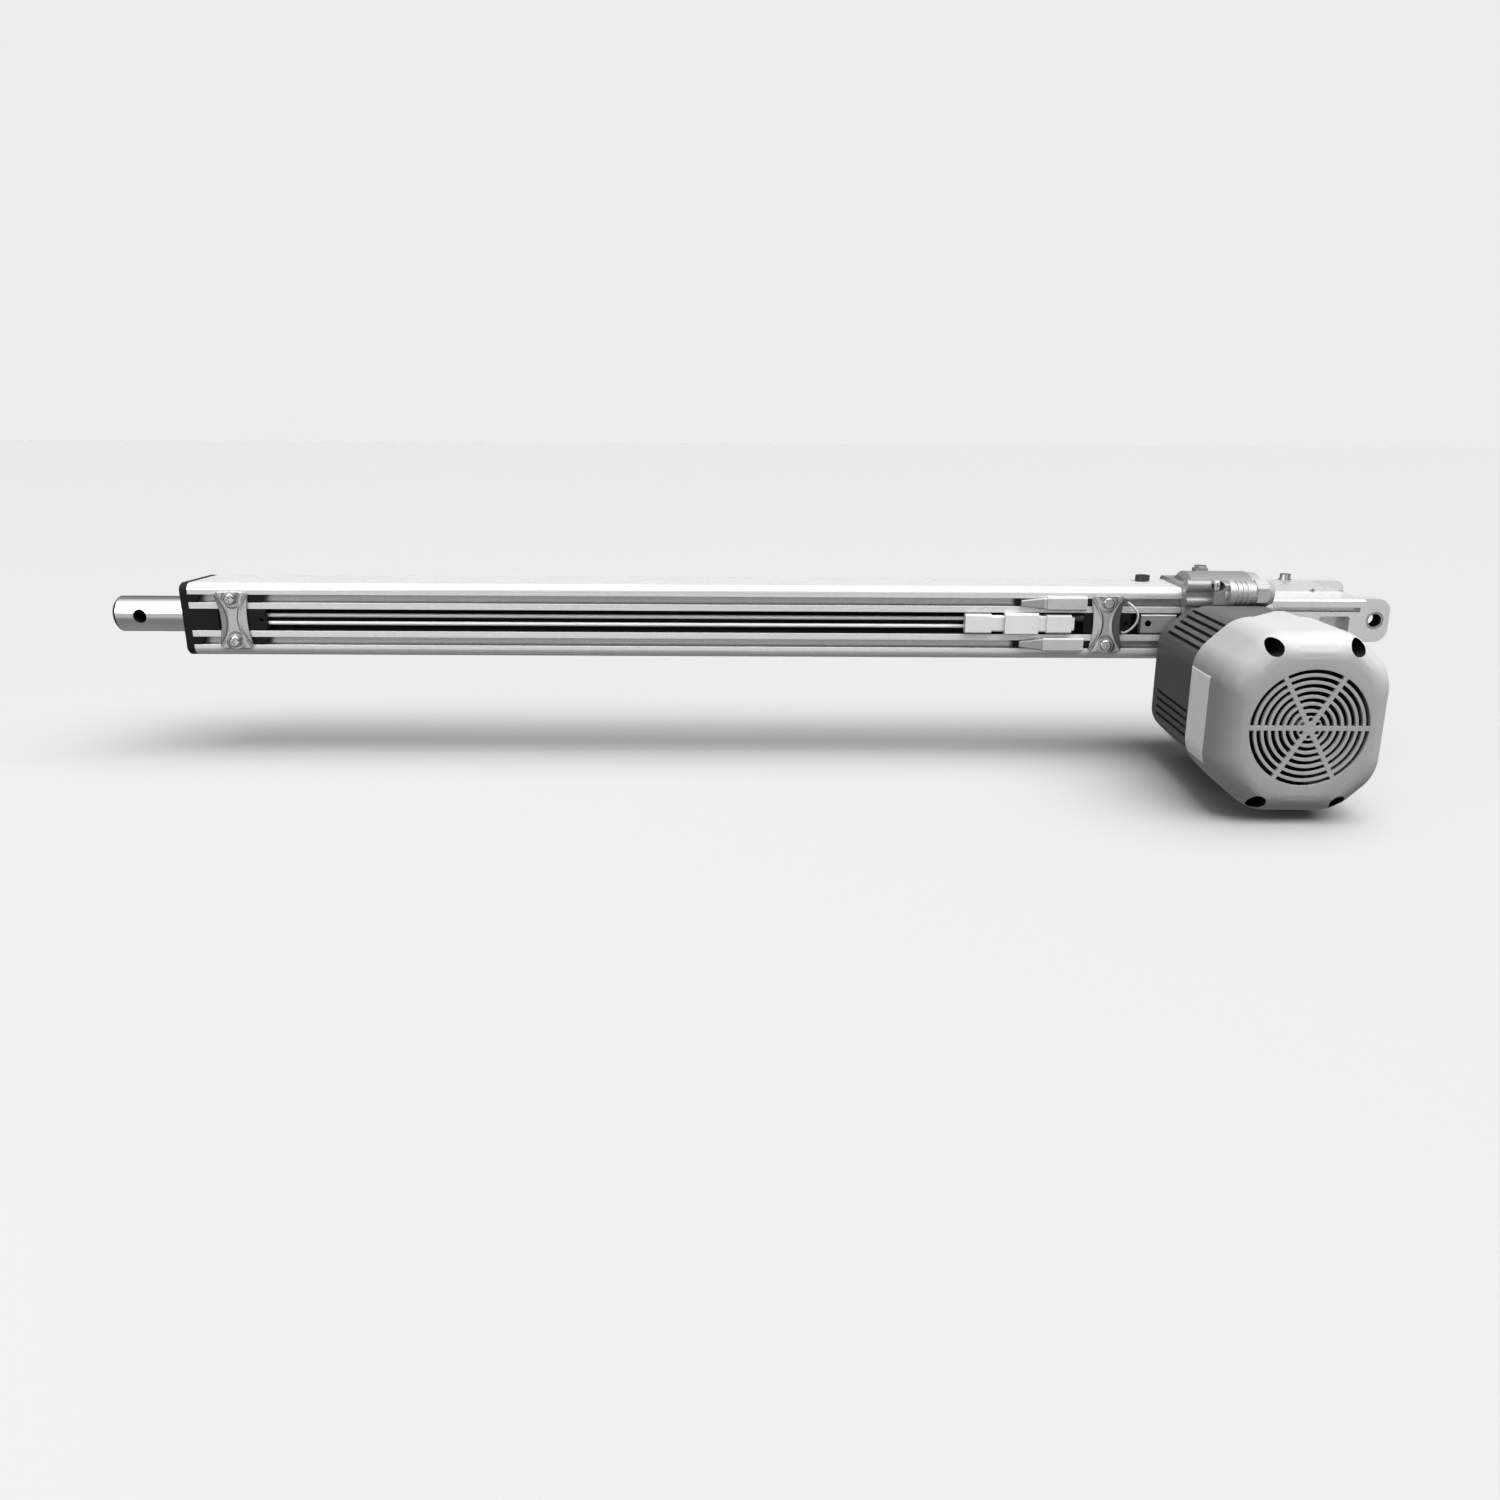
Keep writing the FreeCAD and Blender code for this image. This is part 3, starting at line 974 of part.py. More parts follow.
def slot_connector(side, span):
    """Insulated spade sleeve lying over a T-slot, with its crimped end towards -X."""
    z = side * SLEEVE_Z
    back_y = -HALF - 2 * FIT
    sleeve = rounded_box(span[0], span[1], -HALF - SLEEVE_RISE, back_y,
                         z - SLEEVE_HALF, z + SLEEVE_HALF, CONN_ROUND)
    sections = []
    for x, front, back, half in ((span[0], 4.8, 0.8, 4.8), (CRIMP_X, 3.6, 0.6, 2.6)):
        sections.append(rounded_wire([V(x, -HALF - front, z - half), V(x, -HALF - back, z - half),
                                      V(x, -HALF - back, z + half), V(x, -HALF - front, z + half)], 1.2))
    return fuse([sleeve, Part.makeLoft(sections, True, True)])


def groove_block():
    """Block that closes the cable groove at the gear housing."""
    block = rounded_box(BLOCK_SPAN[0], BLOCK_SPAN[1], -HALF - BLOCK_PROUD, GROOVE_FLOOR_Y - FIT,
                        -BLOCK_HALF, BLOCK_HALF, 1.5)
    return block.cut(rod_y(BLOCK_HOLE_R, -HALF - 2, -HALF + 4, BLOCK_HOLE_X, 0.6))


def tube_path(points, radius):
    """Round lead along straight runs joined by tangent arcs, each as large as its two runs allow."""
    edges = []
    start = points[0]
    for before, corner, after in zip(points, points[1:], points[2:]):
        back = before - corner
        ahead = after - corner
        turn = math.pi - back.getAngle(ahead)
        reach = 0.45 * min(back.Length, ahead.Length)
        bend_r = reach / math.tan(turn / 2)
        back.normalize()
        ahead.normalize()
        first = corner + back * reach
        last = corner + ahead * reach
        middle = corner + (back + ahead).normalize() * (bend_r / math.cos(turn / 2) - bend_r)
        edges.append(Part.LineSegment(start, first).toShape())
        edges.append(Part.Arc(first, middle, last).toShape())
        print("bend radius %.1f" % bend_r)
        start = last
    edges.append(Part.LineSegment(start, points[-1]).toShape())
    path = Part.Wire(edges)
    section = Part.Wire(Part.makeCircle(radius, points[0], points[1] - points[0]))
    lead = path.makePipeShell([section], True, False)
    print("lead: length %.1f, volume %.1f, section x length %.1f"
          % (path.Length, lead.Volume, math.pi * radius ** 2 * path.Length))
    return lead


def jumper_lead():
    return tube_path(JUMPER, JUMPER_R)


# --- cable gland ------------------------------------------------------------------------------
def cable_gland():
    y, z = GLAND_Y, GLAND_Z
    pieces = [rod_x(GLAND_THREAD_R, GLAND_X0 - GLAND_THREAD_LENGTH, GLAND_X0 + 2, y, z)]
    pieces.append(rod_x(GLAND_COLLAR_R, GLAND_X0, GLAND_X0 + GLAND_COLLAR, y, z))
    pieces.append(rod_x(GLAND_BODY_R, GLAND_X0 + GLAND_COLLAR, GLAND_X0 + GLAND_BODY, y, z))
    for i in range(3):
        ring_x0 = GLAND_X0 + GLAND_COLLAR + 2 + i * GLAND_RING_PITCH
        pieces.append(rod_x(GLAND_RING_R, ring_x0, ring_x0 + GLAND_RING_WIDTH, y, z))
    bore = rod_x(GLAND_BORE_R, GLAND_X0 - GLAND_THREAD_LENGTH - OVER, GLAND_X0 + GLAND_BODY + OVER, y, z)
    return fuse(pieces).cut(bore)


def gland_nut():
    x0 = GLAND_X0 + GLAND_BODY
    at = V(x0, GLAND_Y, GLAND_Z)
    nut = hex_prism(at, AXIS_X, GLAND_NUT_FLATS, GLAND_NUT_LENGTH)
    nut = nut.common(Part.makeCone(GLAND_DOME[0], GLAND_DOME[1], GLAND_NUT_LENGTH, at, AXIS_X))
    return nut.cut(rod_x(GLAND_BORE_R, x0 - OVER, x0 + GLAND_NUT_LENGTH + OVER, GLAND_Y, GLAND_Z))


# --- export -----------------------------------------------------------------------------------
NODES = {
    "profile_tube": profile_tube,
    "front_cap": front_cap,
    "front_cap_screws": front_cap_screws,
    "rod_wiper": rod_wiper,
    "rod_guide_bush": rod_guide_bush,
    "piston_rod": piston_rod,
    "rod_end_plug": rod_end_plug,
    "spindle_nut": spindle_nut,
    "magnet_ring": magnet_ring,
    "nut_guide_ring": nut_guide_ring,
    "lead_screw": lead_screw,
    "spindle_end_guide": spindle_end_guide,
    "worm_wheel": worm_wheel,
    "spindle_spacers": spindle_spacers,
    "spindle_bearing_front": lambda: ball_bearing_x(BEARING_A_R, SEAT_R, BEARING_A),
    "spindle_bearing_rear": lambda: ball_bearing_x(BEARING_B_R, NOSE_R, BEARING_B),
    "gear_housing": gear_housing,
    "rear_bracket": rear_bracket,
    "eye_bush": eye_bush,
    "rear_plate": rear_plate,
    "plate_screws": plate_screws,
    "earth_screw": earth_screw,
    "tube_lock_screw": tube_lock_screw,
    "housing_screws": housing_screws,
    "grease_plug": grease_plug,
    "rib_screw": rib_screw,
    "motor_flange": motor_flange,
    "flange_screws": flange_screws,
    "motor_body": motor_body,
    "stator_core": stator_core,
    "stator_windings": stator_windings,
    "motor_shaft": motor_shaft,
    "rotor_core": rotor_core,
    "cooling_fan": cooling_fan,
    "motor_end_shield": motor_end_shield,
    "worm_bearing": lambda: ball_bearing_y(WORM_BEARING_R, SHAFT_R, WORM_BEARING),
    "motor_bearing_front": lambda: ball_bearing_y(MOTOR_BEARING_R, SHAFT_R, FRONT_BEARING),
    "motor_bearing_rear": lambda: ball_bearing_y(MOTOR_BEARING_R, SHAFT_R, REAR_BEARING),
    "fan_cover": fan_cover,
    "cover_screws": cover_screws,
    "through_bolts": through_bolts,
    "rating_plate": rating_plate,
    "outer_switch_clamp": lambda: clamp_plate(CLAMP_XS[0]),
    "inner_switch_clamp": lambda: clamp_plate(CLAMP_XS[1]),
    "clamp_screws": clamp_screws,
    "t_nuts": t_nuts,
    "outer_limit_switch": lambda: limit_switch(SWITCH_SPANS[0]),
    "inner_limit_switch": lambda: limit_switch(SWITCH_SPANS[1]),
    "switch_lead": switch_lead,
    "connector_plug": lambda: connector(PLUG_PIECES),
    "connector_socket": lambda: connector(SOCKET_PIECES),
    "switch_cable": switch_cable,
    "upper_slot_connector": lambda: slot_connector(1, UPPER_SLEEVE),
    "lower_slot_connector": lambda: slot_connector(-1, LOWER_SLEEVE),
    "jumper_lead": jumper_lead,
    "groove_block": groove_block,
    "cable_gland": cable_gland,
    "gland_nut": gland_nut,
}

os.makedirs("parts", exist_ok=True)
for name, make in NODES.items():
    shape = make()
    if not shape.isValid():
        print("invalid", name)
    shape.exportStep("parts/%s.step" % name)
    print(name, len(shape.Solids), "%.0f" % shape.Volume)
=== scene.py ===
"""Looks of the linear actuator: materials, finished edges, pressed clamps, slot inserts, light and camera."""
import json
import math

import bmesh
import bpy
from mathutils import Matrix, Vector


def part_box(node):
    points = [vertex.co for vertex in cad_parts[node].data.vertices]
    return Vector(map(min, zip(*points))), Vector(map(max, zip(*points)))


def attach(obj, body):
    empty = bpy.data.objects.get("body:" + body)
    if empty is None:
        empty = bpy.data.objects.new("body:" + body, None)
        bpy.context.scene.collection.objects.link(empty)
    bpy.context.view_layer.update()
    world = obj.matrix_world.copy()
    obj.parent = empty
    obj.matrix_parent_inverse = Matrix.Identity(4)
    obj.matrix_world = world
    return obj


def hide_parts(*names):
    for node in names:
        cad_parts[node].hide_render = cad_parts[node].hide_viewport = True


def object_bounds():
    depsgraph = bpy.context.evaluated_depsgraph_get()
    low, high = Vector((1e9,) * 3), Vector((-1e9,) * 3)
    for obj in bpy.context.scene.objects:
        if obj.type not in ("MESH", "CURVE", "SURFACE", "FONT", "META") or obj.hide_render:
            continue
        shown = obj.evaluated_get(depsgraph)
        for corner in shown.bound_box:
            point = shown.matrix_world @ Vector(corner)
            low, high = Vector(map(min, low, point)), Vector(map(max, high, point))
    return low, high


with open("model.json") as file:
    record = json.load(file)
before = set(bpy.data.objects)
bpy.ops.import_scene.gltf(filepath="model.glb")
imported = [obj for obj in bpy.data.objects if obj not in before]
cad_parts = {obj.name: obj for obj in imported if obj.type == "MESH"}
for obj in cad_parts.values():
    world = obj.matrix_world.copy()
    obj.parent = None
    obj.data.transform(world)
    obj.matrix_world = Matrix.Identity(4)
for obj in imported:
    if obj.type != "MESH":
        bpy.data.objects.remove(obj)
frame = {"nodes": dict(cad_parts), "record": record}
CAD_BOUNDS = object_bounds()
NODES = frame["nodes"]
bpy.context.scene.view_settings.view_transform = "Standard"

# --- camera: a wide lens about a metre away ----------------------------------------------------
CAMERA_AT = (-0.48918, -0.95725, 0.15912)
CAMERA_PITCH, CAMERA_YAW, CAMERA_ROLL = 16.17, -0.19, 0.30
CAMERA_LENS, CAMERA_SENSOR = 27.15, 36.0
CAMERA_NEAR = 0.01
CAMERA_SHIFT_X = -0.0333


def make_camera():
    """The camera stands in front of the object, a little above it, and looks down."""
    data = bpy.data.cameras.new("camera")
    data.lens = CAMERA_LENS
    data.sensor_width = CAMERA_SENSOR
    data.shift_x = CAMERA_SHIFT_X
    data.clip_start = CAMERA_NEAR
    camera = bpy.data.objects.new("camera", data)
    turn = (Matrix.Rotation(math.radians(CAMERA_YAW), 4, "Z")
            @ Matrix.Rotation(math.radians(90 - CAMERA_PITCH), 4, "X")
            @ Matrix.Rotation(math.radians(CAMERA_ROLL), 4, "Z"))
    camera.matrix_world = Matrix.Translation(CAMERA_AT) @ turn
    bpy.context.scene.collection.objects.link(camera)
    bpy.context.scene.camera = camera


# --- light and floor ---------------------------------------------------------------------------
BACKDROP_TONE = 0.84
DOME_TILT = 18.0          # degrees by which the bright part leans from overhead to the front
# cosine of the angle from the middle of the bright part, and the brightness there
DOME_STOPS = ((-1.0, 0.26), (-0.45, 0.20), (0.05, 0.16), (0.46, 0.15), (0.68, 0.28), (0.86, 1.4), (1.0, 2.6))
SUN_STRENGTH = 8.5
SUN_FROM = (0.35, -0.12, 0.92)
SUN_SPREAD = 70.0         # degrees across the sun's soft disc
# name, place, place it faces, width and height, watts
AREA_LIGHTS = (("front_low", (-0.62, -2.5, -0.45), (-0.6, 0.0, 0.0), (4.4, 0.6), 5.6),
               ("left_soft", (-1.75, -1.3, 0.6), (-0.15, -0.18, -0.03), (0.45, 0.45), 6.0))
FLOOR_TONE, FLOOR_ROUGHNESS = 0.255, 0.9
FLOOR_GAP = 0.006
FLOOR_REACH = 14.0


def grey(value):
    """A neutral colour."""
    return (value, value, value)


def area_light(name, at, toward, size, power):
    """A rectangular light at one place, facing another, that the camera doesn't see."""
    data = bpy.data.lights.new(name, "AREA")
    data.shape = "RECTANGLE"
    data.size, data.size_y = size
    data.energy = power
    light = bpy.data.objects.new(name, data)
    direction = Vector(toward) - Vector(at)
    light.matrix_world = Matrix.Translation(at) @ direction.to_track_quat("-Z", "Y").to_matrix().to_4x4()
    light.visible_camera = False
    bpy.context.scene.collection.objects.link(light)


def make_sun():
    """A broad soft sun from overhead that doesn't show in the metal as a glare."""
    data = bpy.data.lights.new("soft_sun", "SUN")
    data.energy = SUN_STRENGTH
    data.angle = math.radians(SUN_SPREAD)
    sun = bpy.data.objects.new("soft_sun", data)
    sun.visible_glossy = False
    sun.matrix_world = Vector(SUN_FROM).to_track_quat("Z", "Y").to_matrix().to_4x4()
    bpy.context.scene.collection.objects.link(sun)


def make_world():
    """Pale behind the object, and for reflections a bright overhead with a darker band at eye level."""
    world = bpy.data.worlds.new("studio")
    bpy.context.scene.world = world
    world.use_nodes = True
    tree = world.node_tree
    nodes, links = tree.nodes, tree.links
    nodes.clear()
    out = nodes.new("ShaderNodeOutputWorld")
    mix = nodes.new("ShaderNodeMixShader")
    path = nodes.new("ShaderNodeLightPath")
    seen = nodes.new("ShaderNodeBackground")
    seen.inputs["Color"].default_value = (*grey(BACKDROP_TONE), 1.0)
    dome = nodes.new("ShaderNodeBackground")
    coords = nodes.new("ShaderNodeTexCoord")
    toward = nodes.new("ShaderNodeVectorMath")
    toward.operation = "DOT_PRODUCT"
    tilt = math.radians(DOME_TILT)
    toward.inputs[1].default_value = (0.0, -math.sin(tilt), math.cos(tilt))
    ramp = nodes.new("ShaderNodeValToRGB")
    lift = nodes.new("ShaderNodeMapRange")
    lift.inputs["From Min"].default_value = -1.0
    links.new(coords.outputs["Generated"], toward.inputs[0])
    links.new(toward.outputs["Value"], lift.inputs["Value"])
    links.new(lift.outputs[0], ramp.inputs["Fac"])
    elements = ramp.color_ramp.elements
    while len(elements) < len(DOME_STOPS):
        elements.new(0.5)
    for element, (cosine, tone) in zip(elements, DOME_STOPS):
        element.position = (cosine + 1) / 2
        element.color = (*grey(tone), 1.0)
    links.new(ramp.outputs["Color"], dome.inputs["Color"])
    links.new(path.outputs["Is Camera Ray"], mix.inputs["Fac"])
    links.new(dome.outputs[0], mix.inputs[1])
    links.new(seen.outputs[0], mix.inputs[2])
    links.new(mix.outputs[0], out.inputs["Surface"])


def make_floor():
    """Matt pale floor a little under the object, lit but left out of the metal's reflections."""
    z = CAD_BOUNDS[0][2] - FLOOR_GAP
    corners = [(x * FLOOR_REACH, y * FLOOR_REACH, z) for x, y in ((-1, -1), (1, -1), (1, 1), (-1, 1))]
    mesh = bpy.data.meshes.new("floor")
    mesh.from_pydata(corners, [], [(0, 1, 2, 3)])
    floor = bpy.data.objects.new("floor", mesh)
    bpy.context.scene.collection.objects.link(floor)
    mesh.materials.append(plain_material("floor_white", grey(FLOOR_TONE), FLOOR_ROUGHNESS))
    floor.visible_glossy = False
    floor.visible_diffuse = False
    floor.visible_shadow = False


# --- places on the object, from the boxes of its CAD nodes --------------------------------------
def middle_of(node):
    """The middle of a node's box."""
    low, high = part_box(node)
    return (low + high) / 2


def half_of(node):
    """Half the size of a node's box along X, Y and Z."""
    low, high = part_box(node)
    return (high - low) / 2


TUBE_FRONT_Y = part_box("profile_tube")[0].y
SLOT_Z = 0.0175                        # distance of both T-slots from the tube's middle
SLOT_REACH = 0.006                     # half height of a T-slot behind its lips
GROOVE_REACH = 0.0092                  # half height of the cable groove
GROOVE_DEPTHS = (0.0004, 0.0095)       # from behind the tube's front to behind the floors of groove and slots

ROD_END_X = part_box("piston_rod")[0].x
ROD_HOLE_FROM_END = 0.0239
ROD_RIM_LENGTH, ROD_RIM_RADIUS = 0.0034, 0.0138
ROUND_FROM = half_of("piston_rod").z - 0.0001   # beyond this radius lies the rod's outside
CROSS_BORE = 0.0055                    # radius of the rod's hole and of the rear eye
BLOCK_BORE, BLOCK_BORE_FROM_END, BLOCK_BORE_Z = 0.0025, 0.006, 0.0006
BORE_MARGIN, MOUTH_MARGIN = 0.0002, 0.0003      # a bore's painted-shade mask is wider and starts behind its mouth

COVER_HEAD_RADIUS = 0.0046
POCKET_RADIUS = 0.0058
POCKET_BACK_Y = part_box("cover_screws")[0].y + 0.0047   # a little behind the pockets' floors

GLAND_FROM_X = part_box("cable_gland")[0].x + 0.001
FLANGE_TO_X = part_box("rear_bracket")[0].x + 0.0135     # past the bracket's flange
CRIMP_LENGTH = 0.0185                  # crimped end of a slot connector
PAINTED_GLINT_REACH = (0.0025, 0.0020)         # painted highlight in the middle of the rib screw, its reach left and right of its axis
SPAN_MARGIN = 0.001

# greys of the painted shade in groove, slots, pockets, holes, eye and rod rim, and grey and share of the
# retoned parts and of the painted highlight on the rib screw
PAINTED_RECESS_SHADE_TONE, PAINTED_HOLE_SHADE_TONE, PAINTED_EYE_SHADE_TONE, PAINTED_RIM_SHADE_TONE, PAINTED_SLOT_SHADE_TONE = 0.010, 0.008, 0.02, 0.03, 0.55
BLOCK_SHADE, GLAND_SHADE, PAINTED_GLINT = (0.50, 0.6), (0.38, 0.7), (0.75, 1.0)
JUMPER_SHADE, CRIMP_SHADE = (0.30, 0.9), (0.16, 0.6)


# --- material building blocks ------------------------------------------------------------------
NOISE_ROUGHNESS = 0.55
TINT_STOPS = (0.3, 0.7)                # grain values where a material is at its dark and its light tone
BROAD_SCALE, BROAD_DETAIL = 28.0, 3.0
FINE_SHARE = 0.6                       # share of the tone that follows the fine grain, the rest the broad one


def new_material(name):
    """A material with its nodes, links and main shader."""
    material = bpy.data.materials.new(name)
    material.use_nodes = True
    tree = material.node_tree
    shader = tree.nodes["Principled BSDF"]
    return material, tree.nodes, tree.links, shader


def plain_material(name, colour, roughness):
    """One even colour, for the floor."""
    material, nodes, links, shader = new_material(name)
    shader.inputs["Base Color"].default_value = (*colour, 1.0)
    shader.inputs["Roughness"].default_value = roughness
    return material


def mapped(nodes, links, scale):
    """Object-space coordinates stretched by `scale`, so that a grain keeps its real size."""
    coords = nodes.new("ShaderNodeTexCoord")
    mapping = nodes.new("ShaderNodeMapping")
    mapping.inputs["Scale"].default_value = scale
    links.new(coords.outputs["Object"], mapping.inputs["Vector"])
    return mapping.outputs[0]


def noise(nodes, links, vector, scale, detail=4.0):
    """A cloudy 0..1 value with about `scale` clouds to the metre."""
    texture = nodes.new("ShaderNodeTexNoise")
    texture.inputs["Scale"].default_value = scale
    texture.inputs["Detail"].default_value = detail
    texture.inputs["Roughness"].default_value = NOISE_ROUGHNESS
    links.new(vector, texture.inputs["Vector"])
    return texture.outputs["Fac"]


def ranged(nodes, links, value, low, high):
    """Maps 0..1 to low..high."""
    spread = nodes.new("ShaderNodeMapRange")
    spread.inputs["To Min"].default_value = low
    spread.inputs["To Max"].default_value = high
    links.new(value, spread.inputs["Value"])
    return spread.outputs[0]


def tinted(nodes, links, value, dark, light):
    """Colours a value from dark to light."""
    ramp = nodes.new("ShaderNodeValToRGB")
    for element, colour, position in zip(ramp.color_ramp.elements, (dark, light), TINT_STOPS):
        element.color = (*colour, 1.0)
        element.position = position
    links.new(value, ramp.inputs["Fac"])
    return ramp.outputs["Color"]


def bump(nodes, links, height, shader, strength, distance):
    """Relief from a height value, `distance` metres deep."""
    node = nodes.new("ShaderNodeBump")
    node.inputs["Strength"].default_value = strength
    node.inputs["Distance"].default_value = distance
    links.new(height, node.inputs["Height"])
    links.new(node.outputs[0], shader.inputs["Normal"])


def math_node(nodes, links, operation, *values):
    """One step of arithmetic on numbers and other nodes' values."""
    node = nodes.new("ShaderNodeMath")
    node.operation = operation
    for slot, value in zip(node.inputs, values):
        if isinstance(value, (int, float)):
            slot.default_value = value
        else:
            links.new(value, slot)
    return node.outputs[0]


def within(nodes, links, value, low, high):
    """1 where the value lies between low and high."""
    return math_node(nodes, links, "COMPARE", value, (low + high) / 2, (high - low) / 2)


def length_of(nodes, links, a, b):
    """The length of a vector with the two components."""
    squares = [math_node(nodes, links, "POWER", value, 2.0) for value in (a, b)]
    return math_node(nodes, links, "SQRT", math_node(nodes, links, "ADD", *squares))


def place(nodes, links):
    """The X, Y and Z of a point on the object, in metres."""
    coords = nodes.new("ShaderNodeTexCoord")
    split = nodes.new("ShaderNodeSeparateXYZ")
    links.new(coords.outputs["Object"], split.inputs[0])
    return split.outputs


def retone(material, mask, tone):
    """Mixes the base colour towards one grey, as far as the mask says."""
    nodes, links = material.node_tree.nodes, material.node_tree.links
    shader = nodes["Principled BSDF"]
    before = shader.inputs["Base Color"].links[0].from_socket
    mix = nodes.new("ShaderNodeMix")
    mix.data_type = "RGBA"
    links.new(mask, mix.inputs["Factor"])
    links.new(before, mix.inputs["A"])
    mix.inputs["B"].default_value = (*grey(tone), 1.0)
    links.new(mix.outputs["Result"], shader.inputs["Base Color"])


def dull(material, mask):
    """Takes the metal and the gloss away where the mask is 1, so that the painted shade stays dark."""
    nodes, links = material.node_tree.nodes, material.node_tree.links
    clear = math_node(nodes, links, "SUBTRACT", 1.0, mask)
    for name in ("Metallic", "Specular IOR Level"):
        socket = nodes["Principled BSDF"].inputs[name]
        before = socket.links[0].from_socket if socket.is_linked else socket.default_value
        links.new(math_node(nodes, links, "MULTIPLY", clear, before), socket)


def paint_dark_shade(material, mask, tone):
    """Painted shade: a dark and dull place."""
    retone(material, mask, tone)
    dull(material, mask)


def paint_groove_shade(material):
    """Painted shade: the cable groove is painted black and the T-slots are painted darker inside."""
    nodes, links = material.node_tree.nodes, material.node_tree.links
    x, y, z = place(nodes, links)
    behind = within(nodes, links, y, *(TUBE_FRONT_Y + depth for depth in GROOVE_DEPTHS))
    height = math_node(nodes, links, "ABSOLUTE", z)
    in_slot = within(nodes, links, height, SLOT_Z - SLOT_REACH, SLOT_Z + SLOT_REACH)
    in_groove = math_node(nodes, links, "LESS_THAN", height, GROOVE_REACH)
    retone(material, math_node(nodes, links, "MULTIPLY", behind, in_slot), PAINTED_SLOT_SHADE_TONE)
    paint_dark_shade(material, math_node(nodes, links, "MULTIPLY", behind, in_groove), PAINTED_RECESS_SHADE_TONE)


def paint_pocket_shade(material):
    """Painted shade: the fan cover's four deep screw pockets are painted dark inside."""
    nodes, links = material.node_tree.nodes, material.node_tree.links
    x, y, z = place(nodes, links)
    middle, half = middle_of("fan_cover"), half_of("cover_screws")
    across = []
    for value, centre, reach in ((x, middle.x, half.x), (z, middle.z, half.z)):
        away = math_node(nodes, links, "ABSOLUTE", math_node(nodes, links, "SUBTRACT", value, centre))
        across.append(math_node(nodes, links, "SUBTRACT", away, reach - COVER_HEAD_RADIUS))
    inside = math_node(nodes, links, "LESS_THAN", length_of(nodes, links, *across), POCKET_RADIUS)
    front = math_node(nodes, links, "LESS_THAN", y, POCKET_BACK_Y)
    paint_dark_shade(material, math_node(nodes, links, "MULTIPLY", inside, front), PAINTED_RECESS_SHADE_TONE)


def paint_hole_shade(material, node, centre_xz, radius, tone):
    """Painted shade in a cross hole: everything within its radius and behind its mouth is painted dark."""
    nodes, links = material.node_tree.nodes, material.node_tree.links
    x, y, z = place(nodes, links)
    across = [math_node(nodes, links, "SUBTRACT", value, middle) for value, middle in zip((x, z), centre_xz)]
    inside = math_node(nodes, links, "LESS_THAN", length_of(nodes, links, *across), radius + BORE_MARGIN)
    behind = math_node(nodes, links, "GREATER_THAN", y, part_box(node)[0].y + MOUTH_MARGIN)
    paint_dark_shade(material, math_node(nodes, links, "MULTIPLY", inside, behind), tone)


def paint_rod_rim_shade(material):
    """Painted shade: the rim of the rod's end is painted as a dark edge."""
    nodes, links = material.node_tree.nodes, material.node_tree.links
    x, y, z = place(nodes, links)
    rim = math_node(nodes, links, "GREATER_THAN", length_of(nodes, links, y, z), ROD_RIM_RADIUS)
    end = math_node(nodes, links, "LESS_THAN", x, ROD_END_X + ROD_RIM_LENGTH)
    paint_dark_shade(material, math_node(nodes, links, "MULTIPLY", rim, end), PAINTED_RIM_SHADE_TONE)


def retone_span(material, low_x, high_x, tone, share):
    """Shifts the tone of one stretch along the tube, leaving some of the grain to show."""
    nodes, links = material.node_tree.nodes, material.node_tree.links
    x, y, z = place(nodes, links)
    retone(material, math_node(nodes, links, "MULTIPLY", within(nodes, links, x, low_x, high_x), share), tone)


def retone_node(material, node, tone, share):
    """Shifts the tone of the stretch that one node takes up."""
    low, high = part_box(node)
    retone_span(material, low.x - SPAN_MARGIN, high.x + SPAN_MARGIN, tone, share)


def round_normals(material):
    """The outside of the rod shades by its true radius, whatever its facets are."""
    nodes, links = material.node_tree.nodes, material.node_tree.links
    coords = nodes.new("ShaderNodeTexCoord")
    across = nodes.new("ShaderNodeVectorMath")
    across.operation = "MULTIPLY"
    across.inputs[1].default_value = (0.0, 1.0, 1.0)
    links.new(coords.outputs["Object"], across.inputs[0])
    reach = nodes.new("ShaderNodeVectorMath")
    reach.operation = "LENGTH"
    links.new(across.outputs[0], reach.inputs[0])
    radial = nodes.new("ShaderNodeVectorMath")
    radial.operation = "NORMALIZE"
    links.new(across.outputs[0], radial.inputs[0])
    mix = nodes.new("ShaderNodeMix")
    mix.data_type = "VECTOR"
    links.new(math_node(nodes, links, "GREATER_THAN", reach.outputs["Value"], ROUND_FROM), mix.inputs[0])
    links.new(coords.outputs["Normal"], mix.inputs[4])
    links.new(radial.outputs[0], mix.inputs[5])
    turn = nodes.new("ShaderNodeVectorTransform")
    turn.vector_type = "NORMAL"
    turn.convert_from = "OBJECT"
    turn.convert_to = "WORLD"
    links.new(mix.outputs[1], turn.inputs[0])
    relief = nodes["Principled BSDF"].inputs["Normal"].links[0].from_node
    links.new(turn.outputs[0], relief.inputs["Normal"])


